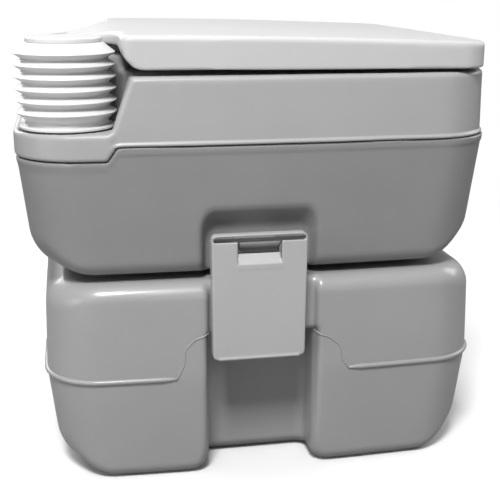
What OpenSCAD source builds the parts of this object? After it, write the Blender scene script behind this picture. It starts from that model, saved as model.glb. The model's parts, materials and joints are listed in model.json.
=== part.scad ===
// Portable camp toilet: a flush unit with bowl, seat and lid, latched onto a removable waste tank.
// Millimetres. The origin is on the ground under the middle of the unit, +X is the front, +Z is up.
// The flush unit lifts off the tank. Two side latches, a slide valve, a bellows pump and two caps move.

/* [Waste tank] */
// Length of the waste tank at its parting bead
tank_l = 400; // [392:2:404]
// Width of the waste tank at its parting bead
tank_w = 356; // [350:2:360]
// Height of the waste tank
tank_h = 185; // [182:1:192]
// Wall thickness of the waste tank
tank_wall = 4; // [3:0.5:4.5]
// Width of the hand channel in each side
channel_w = 96; // [92:1:102]
// Depth of the hand channel in each side
channel_depth = 43; // [38:1:46]

/* [Flush unit] */
// Height of the flush tub, from its floor to the seam
tub_h = 114; // [110:1:124]
// Wall thickness of the tub, the deck and the lid
shell_wall = 3; // [2.5:0.25:3.5]
// Length of the deck
deck_l = 422; // [418:2:430]
// Width of the deck
deck_w = 356; // [354:2:362]
// Height of the deck above the seam
deck_h = 57; // [55:1:60]

/* [Seat and lid] */
// Length of the seat opening
seat_hole_l = 216; // [200:4:224]
// Width of the seat opening
seat_hole_w = 190; // [170:5:200]
// Height of the lid's skirt at its front end
lid_front_h = 21; // [20:0.5:24]
// Drop of the lid's top from back to front
lid_drop = 11; // [8:1:12]

/* [Pump] */
// Outer radius of the bellows ridges
ridge_r = 43; // [40:0.5:44]
// Number of bellows ridges
ridge_count = 6; // [4:1:7]

/* [Latches] */
// Width of a latch plate
latch_w = 82; // [76:1:84]
// Height of a latch plate
latch_h = 109; // [106:1:111]

/* [Fits] */
// Radius of the seat and lid hinge pins
pin_r = 3; // [2.5:0.25:3.5]
// Radial clearance of a turning joint
running_gap = 0.05; // [0.03:0.01:0.09]

/* [Hidden] */
$fn = 64;
hull_fn = 32;   // circle segments inside a hull
slice = 0.1;    // thickness of the slices that a hulled body is stretched over
fix_gap = 0.02; // radial gap of parts that are fixed together
over = 1;       // how far a cut runs past the face it opens

// Heights of the stack
unit_gap = 6;
tub_z = tank_h + unit_gap;
seam_z = tub_z + tub_h;
deck_z = seam_z + deck_h;
rear_seam_z = seam_z - 12;
step_x = -132;

// Waste tank. Each level is [height, inset of the ends, inset of the sides].
tank_x = 4.5;
tank_corner_r = 50;
tank_levels = [[0, 46, 17], [8, 23, 9], [24, 8, 5], [98, 0, 0],
    [tank_h - 20, 1, 1], [tank_h - 7, 6, 6], [tank_h, 18, 17]];
channel_x = -5;
ledge_z = 134;
latch_seat_depth = 7;
pad_r = 12;
pad_gap = 0.05;

// Slide valve, in a pocket in the tank's top that is open to the front
pocket_z = tank_h - 13;
pocket_x = -72;
pocket_half_w = 62;
valve_half_l = 66;
valve_half_w = 58;
valve_bore_r = 45;
valve_base_h = 6;
rail_w = 6.5;
plate_h = 3;
plate_gap = 0.2;
plate_half_w = 51.2;
plate_tongue_half_w = 30;
plate_front_x = 188;
cover_z = pocket_z + valve_base_h + plate_h + 2 * plate_gap;
cover_h = 4;
seal_r = 48.5;
seal_w = 4;
seal_depth = 2;
valve_screw_x = 58;
valve_screw_y = valve_half_w - rail_w / 2;
screw_r = 1.9;
screw_hole_r = screw_r + running_gap;
screw_head_r = 3.6;
screw_head_h = 2.2;
screw_grip = 10;
handle_half_w = 38;
handle_l = 15;
handle_h = 9;
gasket_r = 54;
gasket_in_r = 47;

// Drain, in a pocket in the tank's rear
drain_z = 115;
drain_pocket_x = -165;
drain_pocket_half = 46;
drain_neck_r = 24;
drain_bore_r = 19;
drain_neck_l = 16;
cap_gasket_h = 2.5;
cap_top_h = 4;
cap_skirt_gap = 0.3;
cap_wall = 4;
cap_rib_count = 20;
cap_rib_r = 1.6;

// Flush tub
tub_corner_r = 48;
tub_levels = [[tub_z, 46, 22], [tub_z + 5, 29, 15], [tub_z + 13, 18, 11], [tub_z + 34, 9, 7], [seam_z, 2, 2.5]];
tub_floor = 4;
niche_w = 98;
niche_x = -7;
niche_h = 56;
niche_depth = 20;
outlet_r = 50;
outlet_bore_r = 46;

// Deck
deck_x = -2;
deck_corner_r = 56;
deck_top_t = 4;
deck_levels = [[rear_seam_z, 0, 0], [deck_z - 4, 1, 1], [deck_z - 1, 2, 2], [deck_z, 4, 4]];
well_z = seam_z + 11;
rear_ledge_l = 9;
well_floor = 4;
well_r = 48;
well_recess_r = 42;
well_recess_h = 3;
corner_x = -167;  // centre of the pump, and of the filler on the other side
corner_y = 124.6;

// Bowl
bowl_x = 20;
bowl_l = 240;
bowl_w = 210;
bowl_corner_r = 104;
bowl_flange_w = 15;
bowl_flange_h = 3;
bowl_gasket_h = 4.5;
bowl_top_z = deck_z - deck_top_t - bowl_gasket_h;
bowl_screw_at = [[bowl_x + bowl_l / 2 + 7.5, 0], [bowl_x - bowl_l / 2 - 7.5, 0],
    [bowl_x, bowl_w / 2 + 7.5], [bowl_x, -bowl_w / 2 - 7.5]];
nozzle_z = deck_z - 24;
nozzle_r = 5;
hose_r = 5;
hose_bore_r = 3;
hose_sides = 12;
hose_inside_r = hose_bore_r / cos(180 / hose_sides) + fix_gap;
hose_end_x = bowl_x - bowl_l / 2 - 11;
hose_port_l = 33;
hose_run_x = corner_x + well_r + shell_wall + 2 * hose_r;

// Pump
pump_r = 30;
pump_floor_z = well_z - 28;
pump_seat_z = well_z - well_recess_h;
pump_gasket_h = 1;
pump_flange_r = 38;
pump_flange_h = 2.5;
bellows_z = pump_seat_z + pump_gasket_h + pump_flange_h;
bellows_h = 68;
bellows_wall = 1.4;
bellows_flange_r = 40;
bellows_flange_h = 2.5;
bellows_neck_r = 35;
bellows_top_r = 33;
ridge_first = 13.5;
ridge_last = 62.5;
ridge_pitch = (ridge_last - ridge_first) / (ridge_count - 1);
valley_r = ridge_r - 6.6;
pump_cap_r = 32;
pump_cap_h = 7.5;
ball_r = 6;
ball_seat_r = 4;
ball_z = pump_floor_z + 4 + sqrt(ball_r * ball_r - ball_seat_r * ball_seat_r) + 0.03;
cage_r = 9.5;
cage_h = 16.5;
port_rise = 12;
spigot_r = 4.5;
spigot_h = 12;
tube_r = 6;
tube_end_z = tub_z + 14;
strainer_r = 10;
strainer_h = 16;

// Hinge of the seat and the lid
hinge_x = -198;
hinge_z = deck_z + 12;
scoop_r = 24;
scoop_half_w = 75;
cheek_top_z = deck_z + 13;
cheek_x = [-172, -112];
cheek_y = [63, 106];
ear_r = 8;
ear_w = 8;
ear_y = [34, 60];
lid_lug_y = 42.5;
lid_lug_w = 9;
seat_lug_y = 52;
seat_lug_w = 7.5;
lug_r = 9;
pin_end_y = 32;
pin_head_h = 2;

// Seat
seat_z = deck_z + 4.5;
seat_h = 13.5;
seat_x = 38;
seat_l = 284;
seat_w = 290;
seat_corner_r = 120;
bumper_r = 7;
bumper_x = 85;
bumper_y = 118;

// Lid
lid_z = deck_z + 5;
lid_rear_x = -122;
lid_front_x = 199;
lid_l = lid_front_x - lid_rear_x;
lid_x = (lid_front_x + lid_rear_x) / 2;
lid_w = deck_w - 8;
lid_corner_r = 50;
lid_top_inset = 5;
lid_tilt = atan(lid_drop / lid_l);
lid_notch_half_w = 112;
tongue_half_w = 72;
tongue_rear_x = hinge_x + 12;
tongue_rear_z = hinge_z + 14;
tongue_t = 4;

// Filler
fill_neck_r = 22;
fill_bore_r = 18;
fill_neck_h = 14;

// Latches. Each hangs from a bar held in a clip on the tub.
latch_x = -10;
latch_bar_y = 180;
latch_bar_z = tub_z + 31;
latch_bar_r = 3;
latch_top_z = latch_bar_z + 4;
latch_plate_y = latch_bar_y + 7.5;
latch_plate_t = 3;
latch_cheek_t = 2.5;
latch_cheek_y = latch_bar_y - 2;
latch_window_w = 38.5;
latch_window_h = 16.5;
latch_corner_r = 5;
catch_z = ledge_z - 7;
catch_t = 5;
catch_y = tank_w / 2 - latch_seat_depth + 2;
clip_w = 36;
clip_r = 6;
clip_stem_half_h = 3.5;
clip_slot = 4.5;

shell_grey = [0.66, 0.66, 0.67];
tank_grey = [0.62, 0.62, 0.63];
lid_grey = [0.82, 0.82, 0.82];
latch_grey = [0.72, 0.72, 0.72];
bowl_grey = [0.78, 0.78, 0.78];
pump_white = [0.95, 0.95, 0.94];
valve_grey = [0.30, 0.30, 0.32];
rubber_black = [0.08, 0.08, 0.08];
steel = [0.60, 0.60, 0.62];
clear_hose = [0.80, 0.85, 0.86];

// The height of the lid's top at a place along it
function lid_top_z(x) = lid_z + lid_front_h + lid_drop * (lid_front_x - x) / lid_l;

// The same levels, moved in by a wall and kept between two heights
function inner_levels(levels, wall, low, high) =
    [for (v = levels) [max(low, min(high, v[0])), v[1] + wall, v[2] + wall]];

// The parts on the +Y side, and their mirror images on the -Y side
module both_sides() {
    children();
    mirror([0, 1, 0]) children();
}

// A rectangle with true round corners, centred on the origin
module rounded_rect(l, w, r) {
    square([l - 2 * r, w], center = true);
    square([l, w - 2 * r], center = true);
    for (x = [-1, 1], y = [-1, 1]) translate([x * (l / 2 - r), y * (w / 2 - r)]) circle(r);
}

// A convex body through rounded slices, ending exactly at its first and last height
module stack(l, w, r, levels) {
    last = len(levels) - 1;
    hull() for (i = [0 : last])
        translate([0, 0, levels[i][0] - (i == last ? slice : 0)])
            linear_extrude(slice)
                rounded_rect(l - 2 * levels[i][1], w - 2 * levels[i][2], r, $fn = hull_fn);
}

// A straight round bar along Y, starting at y
module bar_y(r, y, length) {
    translate([0, y, 0]) rotate([-90, 0, 0]) cylinder(r = r, h = length);
}

// A round bar along X, starting at x
module bar_x(r, x, length) {
    translate([x, 0, 0]) rotate([0, 90, 0]) cylinder(r = r, h = length);
}

// A ring lying flat
module ring(r_out, r_in, h) {
    difference() {
        cylinder(r = r_out, h = h);
        translate([0, 0, -over]) cylinder(r = r_in, h = h + 2 * over);
    }
}

// A round bar that follows straight stretches between points, with a slightly fuller ball at each bend
module bent_bar(points, r) {
    for (i = [0 : len(points) - 2]) {
        run = points[i + 1] - points[i];
        translate(points[i]) rotate([0, acos(run.z / norm(run)), atan2(run.y, run.x)])
            cylinder(r = r, h = norm(run));
        if (i > 0) translate(points[i]) sphere(r * 1.06);
    }
}

// A screw pointing up, with its head's underside at the origin
module screw(length) {
    cylinder(r = screw_r, h = length);
    translate([0, 0, -screw_head_h]) cylinder(r = screw_head_r, h = screw_head_h);
}

// A screw cap with a ribbed skirt, closed at the top, its rim at the origin
module ribbed_cap(bore_r, skirt_h) {
    outer_r = bore_r + cap_wall;
    difference() {
        cylinder(r = outer_r, h = skirt_h + cap_top_h);
        translate([0, 0, -over]) cylinder(r = bore_r, h = skirt_h + over);
        for (a = [0 : 360 / cap_rib_count : 359])
            rotate([0, 0, a]) translate([outer_r + cap_rib_r / 2, 0, -over])
                cylinder(r = cap_rib_r, h = skirt_h + over, $fn = 16);
    }
}

// ---------- waste tank ----------

// The hand channel in the +Y side, grown by a wall when the hollow is cut around it
module side_channel(grow) {
    half = channel_w / 2 + grow;
    reach = channel_depth + over;
    translate([channel_x - half, tank_w / 2 - channel_depth - grow, -over])
        cube([2 * half, reach + grow, ledge_z + over + grow]);
    translate([channel_x - half, tank_w / 2 - latch_seat_depth - grow, -over])
        cube([2 * half, latch_seat_depth + over + grow, tank_h + 2 * over]);
}

// The pocket for the slide valve, open to the front
module valve_pocket(grow) {
    translate([pocket_x - grow, -pocket_half_w - grow, pocket_z - grow])
        cube([tank_l, 2 * (pocket_half_w + grow), tank_h]);
}

// The pocket for the drain cap, open to the rear
module drain_pocket(grow) {
    half = drain_pocket_half + grow;
    translate([drain_pocket_x - tank_l + grow, -half, drain_z - half]) cube([tank_l, 2 * half, 2 * half]);
}

module at_valve_screws() {
    for (x = [-1, 1], y = [-1, 1]) translate([x * valve_screw_x, y * valve_screw_y, 0]) children();
}

module at_drain() {
    translate([drain_pocket_x, 0, drain_z]) rotate([0, -90, 0]) children();
}

module tank_hollow() {
    inside = inner_levels(tank_levels, tank_wall, tank_wall, tank_h - tank_wall);
    difference() {
        translate([tank_x, 0, 0]) stack(tank_l, tank_w, tank_corner_r, inside);
        both_sides() side_channel(tank_wall);
        valve_pocket(tank_wall);
        drain_pocket(tank_wall);
        at_valve_screws() translate([0, 0, pocket_z - screw_grip - 2]) cylinder(r = 5, h = screw_grip);
    }
}

module waste_tank() {
    color(tank_grey) {
        difference() {
            translate([tank_x, 0, 0]) stack(tank_l, tank_w, tank_corner_r, tank_levels);
            tank_hollow();
            both_sides() side_channel(0);
            valve_pocket(0);
            difference() {
                drain_pocket(0);
                at_drain() translate([0, 0, -over]) cylinder(r = drain_neck_r, h = drain_neck_l + over);
            }
            translate([0, 0, pocket_z - 2 * tank_wall]) cylinder(r = valve_bore_r, h = 3 * tank_wall);
            at_drain() translate([0, 0, -2 * tank_wall]) cylinder(r = drain_bore_r, h = tank_l);
            at_valve_screws() translate([0, 0, pocket_z - screw_grip]) cylinder(r = screw_hole_r, h = tank_h);
        }
        both_sides() for (x = [-120, 140])
            translate([x, 110, tank_h - tank_wall / 2])
                cylinder(r = pad_r, h = unit_gap + tank_wall / 2 - pad_gap);
    }
}

module drain_cap() {
    color(latch_grey) at_drain()
        translate([0, 0, 4]) ribbed_cap(drain_neck_r + cap_skirt_gap, drain_neck_l - 4 + cap_gasket_h);
}

module drain_cap_gasket() {
    color(rubber_black) at_drain()
        translate([0, 0, drain_neck_l]) ring(drain_neck_r, drain_bore_r, cap_gasket_h);
}

// ---------- slide valve ----------

// A flat piece of the valve, with its bore and screw holes
module valve_slab(z, h) {
    difference() {
        translate([-valve_half_l, -valve_half_w, z]) cube([2 * valve_half_l, 2 * valve_half_w, h]);
        translate([0, 0, z - over]) cylinder(r = valve_bore_r, h = h + 2 * over);
        at_valve_screws() translate([0, 0, z - over]) cylinder(r = screw_hole_r, h = h + 2 * over);
    }
}

module valve_base() {
    slot_h = plate_h + 2 * plate_gap;
    slot_half_w = valve_half_w - rail_w;
    color(valve_grey) difference() {
        valve_slab(pocket_z, valve_base_h + slot_h);
        translate([-2 * valve_half_l, -slot_half_w, pocket_z + valve_base_h])
            cube([4 * valve_half_l, 2 * slot_half_w, slot_h + over]);
        translate([0, 0, pocket_z + valve_base_h - seal_depth])
            ring(seal_r + seal_w / 2, seal_r - seal_w / 2, slot_h);
    }
}

module valve_seal() {
    color(rubber_black) translate([0, 0, pocket_z + valve_base_h - seal_depth])
        ring(seal_r + seal_w / 2 - fix_gap, seal_r - seal_w / 2 + fix_gap, seal_depth + plate_gap / 2);
}

module valve_cover() {
    color(valve_grey) valve_slab(cover_z, cover_h);
}

module valve_screws() {
    color(steel) at_valve_screws() translate([0, 0, cover_z + cover_h]) rotate([180, 0, 0])
        screw(cover_z + cover_h - pocket_z + screw_grip - 1);
}

module valve_plate() {
    front = plate_front_x + handle_l / 2;
    color(pump_white) translate([0, 0, pocket_z + valve_base_h + plate_gap]) linear_extrude(plate_h) {
        translate([-56, -plate_half_w]) square([116, 2 * plate_half_w]);
        translate([0, -plate_tongue_half_w]) square([front, 2 * plate_tongue_half_w]);
    }
}

module valve_handle() {
    plate_z = pocket_z + valve_base_h + plate_gap;
    color(valve_grey) difference() {
        translate([plate_front_x, -handle_half_w, pocket_z + 2.5])
            cube([handle_l, 2 * handle_half_w, handle_h]);
        translate([plate_front_x - over, -plate_tongue_half_w - fix_gap, plate_z - fix_gap])
            cube([handle_l / 2 + over + fix_gap, 2 * (plate_tongue_half_w + fix_gap), plate_h + 2 * fix_gap]);
    }
}

module tank_gasket() {
    height = tub_z - cover_z - cover_h - 2 * pad_gap;
    color(rubber_black) translate([0, 0, cover_z + cover_h]) ring(gasket_r, gasket_in_r, height);
}

// ---------- flush tub ----------

// The latch niche in the +Y side of the tub, grown by a wall when the hollow is cut around it
module latch_niche(grow) {
    half = niche_w / 2 + grow;
    translate([niche_x - half, deck_w / 2 - niche_depth - grow, tub_z - over])
        cube([2 * half, niche_depth + over + grow, niche_h + over + grow]);
}

// The clip that holds the latch bar, and its stem to the back of the niche
module latch_clip() {
    stem_l = latch_bar_y - (deck_w / 2 - niche_depth) + shell_wall / 2;
    translate([latch_x - clip_w / 2, latch_bar_y, latch_bar_z]) difference() {
        union() {
            bar_x(clip_r, 0, clip_w);
            translate([0, -stem_l, -clip_stem_half_h]) cube([clip_w, stem_l, 2 * clip_stem_half_h]);
        }
        bar_x(latch_bar_r + running_gap, -over, clip_w + 2 * over);
        translate([-over, 0, -clip_slot / 2]) cube([clip_w + 2 * over, 2 * clip_r, clip_slot]);
    }
}

module flush_tub() {
    inside = concat(inner_levels(tub_levels, shell_wall, tub_z + tub_floor, seam_z),
        [[seam_z + over, 2 + shell_wall, 2.5 + shell_wall]]);
    color(shell_grey) {
        difference() {
            translate([deck_x, 0, 0]) stack(deck_l, deck_w, tub_corner_r, tub_levels);
            difference() {
                translate([deck_x, 0, 0]) stack(deck_l, deck_w, tub_corner_r, inside);
                both_sides() latch_niche(shell_wall);
            }
            both_sides() latch_niche(0);
            translate([0, 0, tub_z - over]) cylinder(r = outlet_r + fix_gap, h = tub_floor + 2 * over);
            translate([step_x - deck_l, -deck_w, rear_seam_z]) cube([deck_l, 2 * deck_w, deck_h]);
        }
        both_sides() latch_clip();
    }
}

// ---------- deck ----------

// The open corner round the pump on the -Y side, or the filler on the +Y side
module corner_well(side, z, grow) {
    r = well_r + grow;
    translate([corner_x, side * corner_y, z]) {
        cylinder(r = r, h = 2 * deck_h);
        translate([-deck_l, side > 0 ? 0 : -deck_w, 0]) cube([deck_l + r, deck_w, 2 * deck_h]);
        translate([-deck_l, side > 0 ? -r : r - deck_w, 0]) cube([deck_l, deck_w, 2 * deck_h]);
    }
}

// The low ledge across the rear end, level with the floors of both corners
module rear_ledge(z, grow) {
    translate([deck_x - deck_l, -deck_w, z]) cube([deck_l / 2 + rear_ledge_l + grow, 2 * deck_w, 2 * deck_h]);
}

module hinge_scoop(grow) {
    translate([hinge_x, 0, hinge_z]) bar_y(scoop_r + grow, -scoop_half_w - grow, 2 * (scoop_half_w + grow));
}

module deck_hollow() {
    low = rear_seam_z - over;
    inside = concat([[low, shell_wall, shell_wall]],
        inner_levels(deck_levels, shell_wall, rear_seam_z, deck_z - deck_top_t));
    difference() {
        translate([deck_x, 0, 0]) stack(deck_l, deck_w, deck_corner_r - shell_wall, inside);
        for (side = [-1, 1]) corner_well(side, well_z - well_floor - well_recess_h, shell_wall);
        rear_ledge(well_z - well_floor, shell_wall);
        hinge_scoop(shell_wall);
    }
}

module hinge_ears() {
    for (y = ear_y) translate([hinge_x, 0, hinge_z]) difference() {
        union() {
            bar_y(ear_r, y, ear_w);
            translate([-6, y, -scoop_r - shell_wall / 2]) cube([14, ear_w, scoop_r + shell_wall / 2]);
        }
        bar_y(pin_r + fix_gap, y - over, ear_w + 2 * over);
    }
}

// The raised cheek on the +Y side of the hinge, between the filler's corner and the lid's tongue
module hinge_cheek() {
    translate([cheek_x[0], cheek_y[0], deck_z - 1])
        cube([cheek_x[1] - cheek_x[0], cheek_y[1] - cheek_y[0], cheek_top_z - deck_z + 1]);
}

module top_deck() {
    color(shell_grey) {
        difference() {
            union() {
                translate([deck_x, 0, 0]) stack(deck_l, deck_w, deck_corner_r, deck_levels);
                both_sides() hinge_cheek();
            }
            deck_hollow();
            translate([step_x, -deck_w, 0]) cube([deck_l, 2 * deck_w, seam_z]);
            for (side = [-1, 1]) corner_well(side, well_z, 0);
            rear_ledge(well_z, 0);
            hinge_scoop(0);
            translate([bowl_x, 0, deck_z - 2 * deck_top_t])
                linear_extrude(3 * deck_top_t) rounded_rect(bowl_l, bowl_w, bowl_corner_r);
            translate([corner_x, -corner_y, pump_seat_z]) cylinder(r = well_recess_r, h = deck_h);
            translate([corner_x, -corner_y, seam_z - deck_h]) cylinder(r = pump_r + fix_gap, h = 2 * deck_h);
            translate([corner_x, corner_y, seam_z - deck_h]) cylinder(r = fill_bore_r, h = 2 * deck_h);
            for (p = bowl_screw_at) translate([p.x, p.y, deck_z - 2 * deck_top_t])
                cylinder(r = screw_hole_r, h = 2 * deck_top_t - 1);
        }
        translate([corner_x, corner_y, well_z - well_floor])
            ring(fill_neck_r, fill_bore_r, fill_neck_h + well_floor);
        both_sides() hinge_ears();
    }
}

module hinge_pin() {
    far_y = ear_y[1] + ear_w;
    translate([hinge_x, 0, hinge_z]) {
        bar_y(pin_r, pin_end_y, far_y - pin_end_y);
        bar_y(pin_r + 2, far_y, pin_head_h);
    }
}

module hinge_pin_left() {
    color(valve_grey) hinge_pin();
}

module hinge_pin_right() {
    color(valve_grey) mirror([0, 1, 0]) hinge_pin();
}

// ---------- bowl ----------

// The tapering bowl, with its surface moved out from the hollow by a wall
module bowl_funnel(wall, top_z) {
    low_z = tub_z + 14;
    hull() {
        translate([bowl_x, 0, top_z - slice]) linear_extrude(slice)
            rounded_rect(bowl_l + 2 * wall, bowl_w + 2 * wall, bowl_corner_r + wall, $fn = hull_fn);
        translate([bowl_x * 0.7, 0, low_z + 75]) linear_extrude(slice)
            rounded_rect(198 + 2 * wall, 172 + 2 * wall, 80 + wall, $fn = hull_fn);
        translate([0, 0, low_z]) cylinder(r = outlet_bore_r + wall, h = slice, $fn = hull_fn);
    }
}

module at_bowl_screws(z) {
    for (p = bowl_screw_at) translate([p.x, p.y, z]) children();
}

// A flat rim round the bowl's mouth
module bowl_rim(z, h) {
    difference() {
        translate([bowl_x, 0, z]) linear_extrude(h) difference() {
            rounded_rect(bowl_l + 2 * bowl_flange_w, bowl_w + 2 * bowl_flange_w, bowl_corner_r + bowl_flange_w);
            rounded_rect(bowl_l, bowl_w, bowl_corner_r);
        }
        at_bowl_screws(z - over) cylinder(r = screw_hole_r, h = h + 2 * over);
    }
}

module bowl() {
    color(bowl_grey) {
        bowl_rim(bowl_top_z - bowl_flange_h, bowl_flange_h);
        difference() {
            union() {
                bowl_funnel(shell_wall, bowl_top_z);
                translate([0, 0, tub_z]) cylinder(r = outlet_r, h = 18);
            }
            bowl_funnel(0, bowl_top_z + over);
            translate([0, 0, tub_z - over]) cylinder(r = outlet_bore_r, h = 18);
            translate([bowl_x, 0, nozzle_z]) bar_x(nozzle_r + running_gap, -bowl_l, bowl_l);
        }
    }
}

module bowl_gasket() {
    color(rubber_black) bowl_rim(bowl_top_z, bowl_gasket_h - fix_gap);
}

module bowl_screws() {
    color(steel) at_bowl_screws(bowl_top_z - bowl_flange_h) screw(bowl_flange_h + bowl_gasket_h + 2);
}

// The nozzle starts outside the bowl with a barb for the hose and ends just inside the bowl
module spray_nozzle() {
    color(valve_grey) translate([0, 0, nozzle_z]) difference() {
        union() {
            bar_x(hose_bore_r, hose_end_x - 7, 12);
            bar_x(nozzle_r, hose_end_x, 22);
        }
        bar_x(1.5, hose_end_x - 8, 40);
    }
}

module flush_hose() {
    port_x = corner_x + hose_port_l + fix_gap;
    port_z = pump_floor_z + port_rise;
    path = [[port_x, -corner_y, port_z], [hose_run_x - 10, -corner_y, port_z], [hose_run_x, -100, port_z],
        [hose_run_x, -50, port_z + 12], [hose_end_x - 17, 0, nozzle_z], [hose_end_x - fix_gap, 0, nozzle_z]];
    color(clear_hose) difference() {
        bent_bar(path, hose_r, $fn = hose_sides);
        bent_bar(path, hose_inside_r, $fn = hose_sides);
        translate([port_x, -corner_y, port_z]) bar_x(hose_inside_r, -over, 2 * over, $fn = hose_sides);
        translate([0, 0, nozzle_z]) bar_x(hose_inside_r, hose_end_x - over, 2 * over, $fn = hose_sides);
    }
}

// ---------- pump ----------

module at_pump(z) {
    translate([corner_x, -corner_y, z]) children();
}

module pump_base() {
    chamber_h = pump_seat_z + pump_gasket_h + pump_flange_h - pump_floor_z;
    color(valve_grey) at_pump(pump_floor_z) difference() {
        union() {
            cylinder(r = pump_r, h = chamber_h);
            translate([0, 0, chamber_h - pump_flange_h]) cylinder(r = pump_flange_r, h = pump_flange_h);
            translate([0, 0, -spigot_h]) cylinder(r = spigot_r, h = spigot_h + over);
            translate([0, 0, port_rise]) bar_x(hose_r, 0, hose_port_l);
        }
        translate([0, 0, 4]) cylinder(r = pump_r - 3, h = chamber_h);
        translate([0, 0, -over]) cylinder(r = ball_seat_r, h = 6);
        translate([0, 0, -spigot_h - over]) cylinder(r = hose_bore_r, h = spigot_h + 2 * over);
        translate([0, 0, port_rise]) bar_x(hose_bore_r, 0, hose_port_l + over);
    }
}

module pump_gasket() {
    color(rubber_black) at_pump(pump_seat_z) ring(pump_flange_r, pump_r + fix_gap, pump_gasket_h);
}

// The bellows wall, from the bottom flange up through each ridge and valley
module pump_bellows() {
    ridges = [for (i = [0 : ridge_count - 1]) each [
        [ridge_r, ridge_first + i * ridge_pitch],
        [i < ridge_count - 1 ? valley_r : bellows_top_r,
            i < ridge_count - 1 ? ridge_first + (i + 0.5) * ridge_pitch : bellows_h - 1.5]]];
    skin = concat([[bellows_neck_r, bellows_flange_h + 2]], ridges);
    foot = [[bellows_neck_r - bellows_wall, 0], [bellows_flange_r, 0], [bellows_flange_r, bellows_flange_h],
        [bellows_neck_r, bellows_flange_h]];
    inside = [for (i = [len(skin) - 1 : -1 : 0]) [skin[i][0] - bellows_wall, skin[i][1] - bellows_wall / 2]];
    color(pump_white) at_pump(bellows_z) {
        rotate_extrude() polygon(concat(foot, skin, inside));
        translate([0, 0, bellows_h - 2 * bellows_wall - 1])
            cylinder(r = bellows_top_r, h = 2 * bellows_wall + 1);
    }
}

module pump_cap() {
    color(pump_white) at_pump(bellows_z + bellows_h + fix_gap) cylinder(r = pump_cap_r, h = pump_cap_h);
}

module inlet_cage() {
    color(pump_white) at_pump(pump_floor_z + 4) difference() {
        cylinder(r = cage_r, h = cage_h);
        translate([0, 0, -over]) cylinder(r = ball_r + 1.2, h = cage_h - 1);
        translate([0, 0, -over]) cylinder(r = 3, h = cage_h + 2 * over);
        for (a = [0, 60, 120]) rotate([0, 0, a])
            translate([-2 * cage_r, -2, 4]) cube([4 * cage_r, 4, cage_h - 8]);
    }
}

module inlet_ball() {
    color(steel) at_pump(ball_z) sphere(ball_r);
}

module pickup_tube() {
    top_z = pump_floor_z - 1;
    color(clear_hose) at_pump(tube_end_z) ring(tube_r, spigot_r + fix_gap, top_z - tube_end_z);
}

module pickup_strainer() {
    foot_h = 6;
    color(valve_grey) at_pump(tube_end_z - foot_h) difference() {
        cylinder(r = strainer_r, h = strainer_h);
        translate([0, 0, foot_h]) cylinder(r = tube_r + fix_gap, h = strainer_h);
        translate([0, 0, 1.5]) cylinder(r = spigot_r, h = strainer_h);
        for (a = [0 : 45 : 135]) rotate([0, 0, a])
            translate([-2 * strainer_r, -1, 2]) cube([4 * strainer_r, 2, 3]);
    }
}

// ---------- filler ----------

module fill_cap() {
    color(latch_grey) translate([corner_x, corner_y, well_z + 2])
        ribbed_cap(fill_neck_r + cap_skirt_gap, fill_neck_h - 2 + cap_gasket_h);
}

module fill_cap_gasket() {
    color(rubber_black) translate([corner_x, corner_y, well_z + fill_neck_h])
        ring(fill_neck_r, fill_bore_r, cap_gasket_h);
}

// ---------- seat and lid ----------

// A hinge lug on the pin's axis, with its arm running forward
module hinge_lug(y, w, arm_l, arm_z, arm_h) {
    translate([hinge_x, 0, hinge_z]) difference() {
        union() {
            bar_y(lug_r, y, w);
            translate([0, y, arm_z]) cube([arm_l, w, arm_h]);
        }
        bar_y(pin_r + running_gap, y - over, w + 2 * over);
    }
}

module at_bumpers(z) {
    for (x = [-1, 1], y = [-1, 1]) translate([bowl_x + x * bumper_x, y * bumper_y, z]) children();
}

module seat_ring() {
    arm_l = seat_x - seat_l / 2 + 40 - hinge_x;
    color(lid_grey) {
        difference() {
            translate([seat_x, 0, seat_z]) linear_extrude(seat_h) difference() {
                rounded_rect(seat_l, seat_w, seat_corner_r);
                translate([bowl_x - seat_x, 0])
                    rounded_rect(seat_hole_l, seat_hole_w, min(seat_hole_l, seat_hole_w) / 2 - 2);
            }
            at_bumpers(seat_z - over) cylinder(r = bumper_r - 2, h = 5);
        }
        both_sides() hinge_lug(seat_lug_y, seat_lug_w, arm_l, seat_z - hinge_z + 1, seat_h - 2);
    }
}

module seat_bumpers() {
    color(rubber_black) {
        at_bumpers(deck_z + pad_gap) cylinder(r = bumper_r, h = seat_z - deck_z - pad_gap);
        at_bumpers(seat_z - over) cylinder(r = bumper_r - 2 - fix_gap, h = 4);
    }
}

// The lid's box with its top sloping down to the front, smaller all round by a wall
module lid_body(wall, z) {
    l = lid_l - 2 * wall;
    w = lid_w - 2 * wall;
    r = lid_corner_r - wall;
    translate([lid_x, 0, 0]) hull() {
        translate([0, 0, z]) linear_extrude(slice) rounded_rect(l, w, r, $fn = hull_fn);
        translate([0, 0, lid_top_z(lid_x) - wall - 6]) rotate([0, lid_tilt, 0])
            linear_extrude(slice) rounded_rect(l, w, r, $fn = hull_fn);
        translate([0, 0, lid_top_z(lid_x) - wall - slice]) rotate([0, lid_tilt, 0])
            linear_extrude(slice) rounded_rect(l - lid_top_inset, w - lid_top_inset, r - 2, $fn = hull_fn);
    }
}

// The narrow rear part of the lid that reaches back to the hinge
module lid_tongue() {
    front_x = lid_rear_x + shell_wall;
    top_z = lid_top_z(front_x);
    hull() {
        translate([tongue_rear_x, -tongue_half_w, tongue_rear_z - tongue_t])
            cube([slice, 2 * tongue_half_w, tongue_t]);
        translate([front_x, -tongue_half_w, top_z - 2 * tongue_t])
            cube([slice, 2 * tongue_half_w, 2 * tongue_t - 1]);
    }
    both_sides() translate([tongue_rear_x + 10, tongue_half_w - shell_wall, hinge_z + 6])
        cube([front_x - tongue_rear_x - 10, shell_wall, 9]);
}

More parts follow.
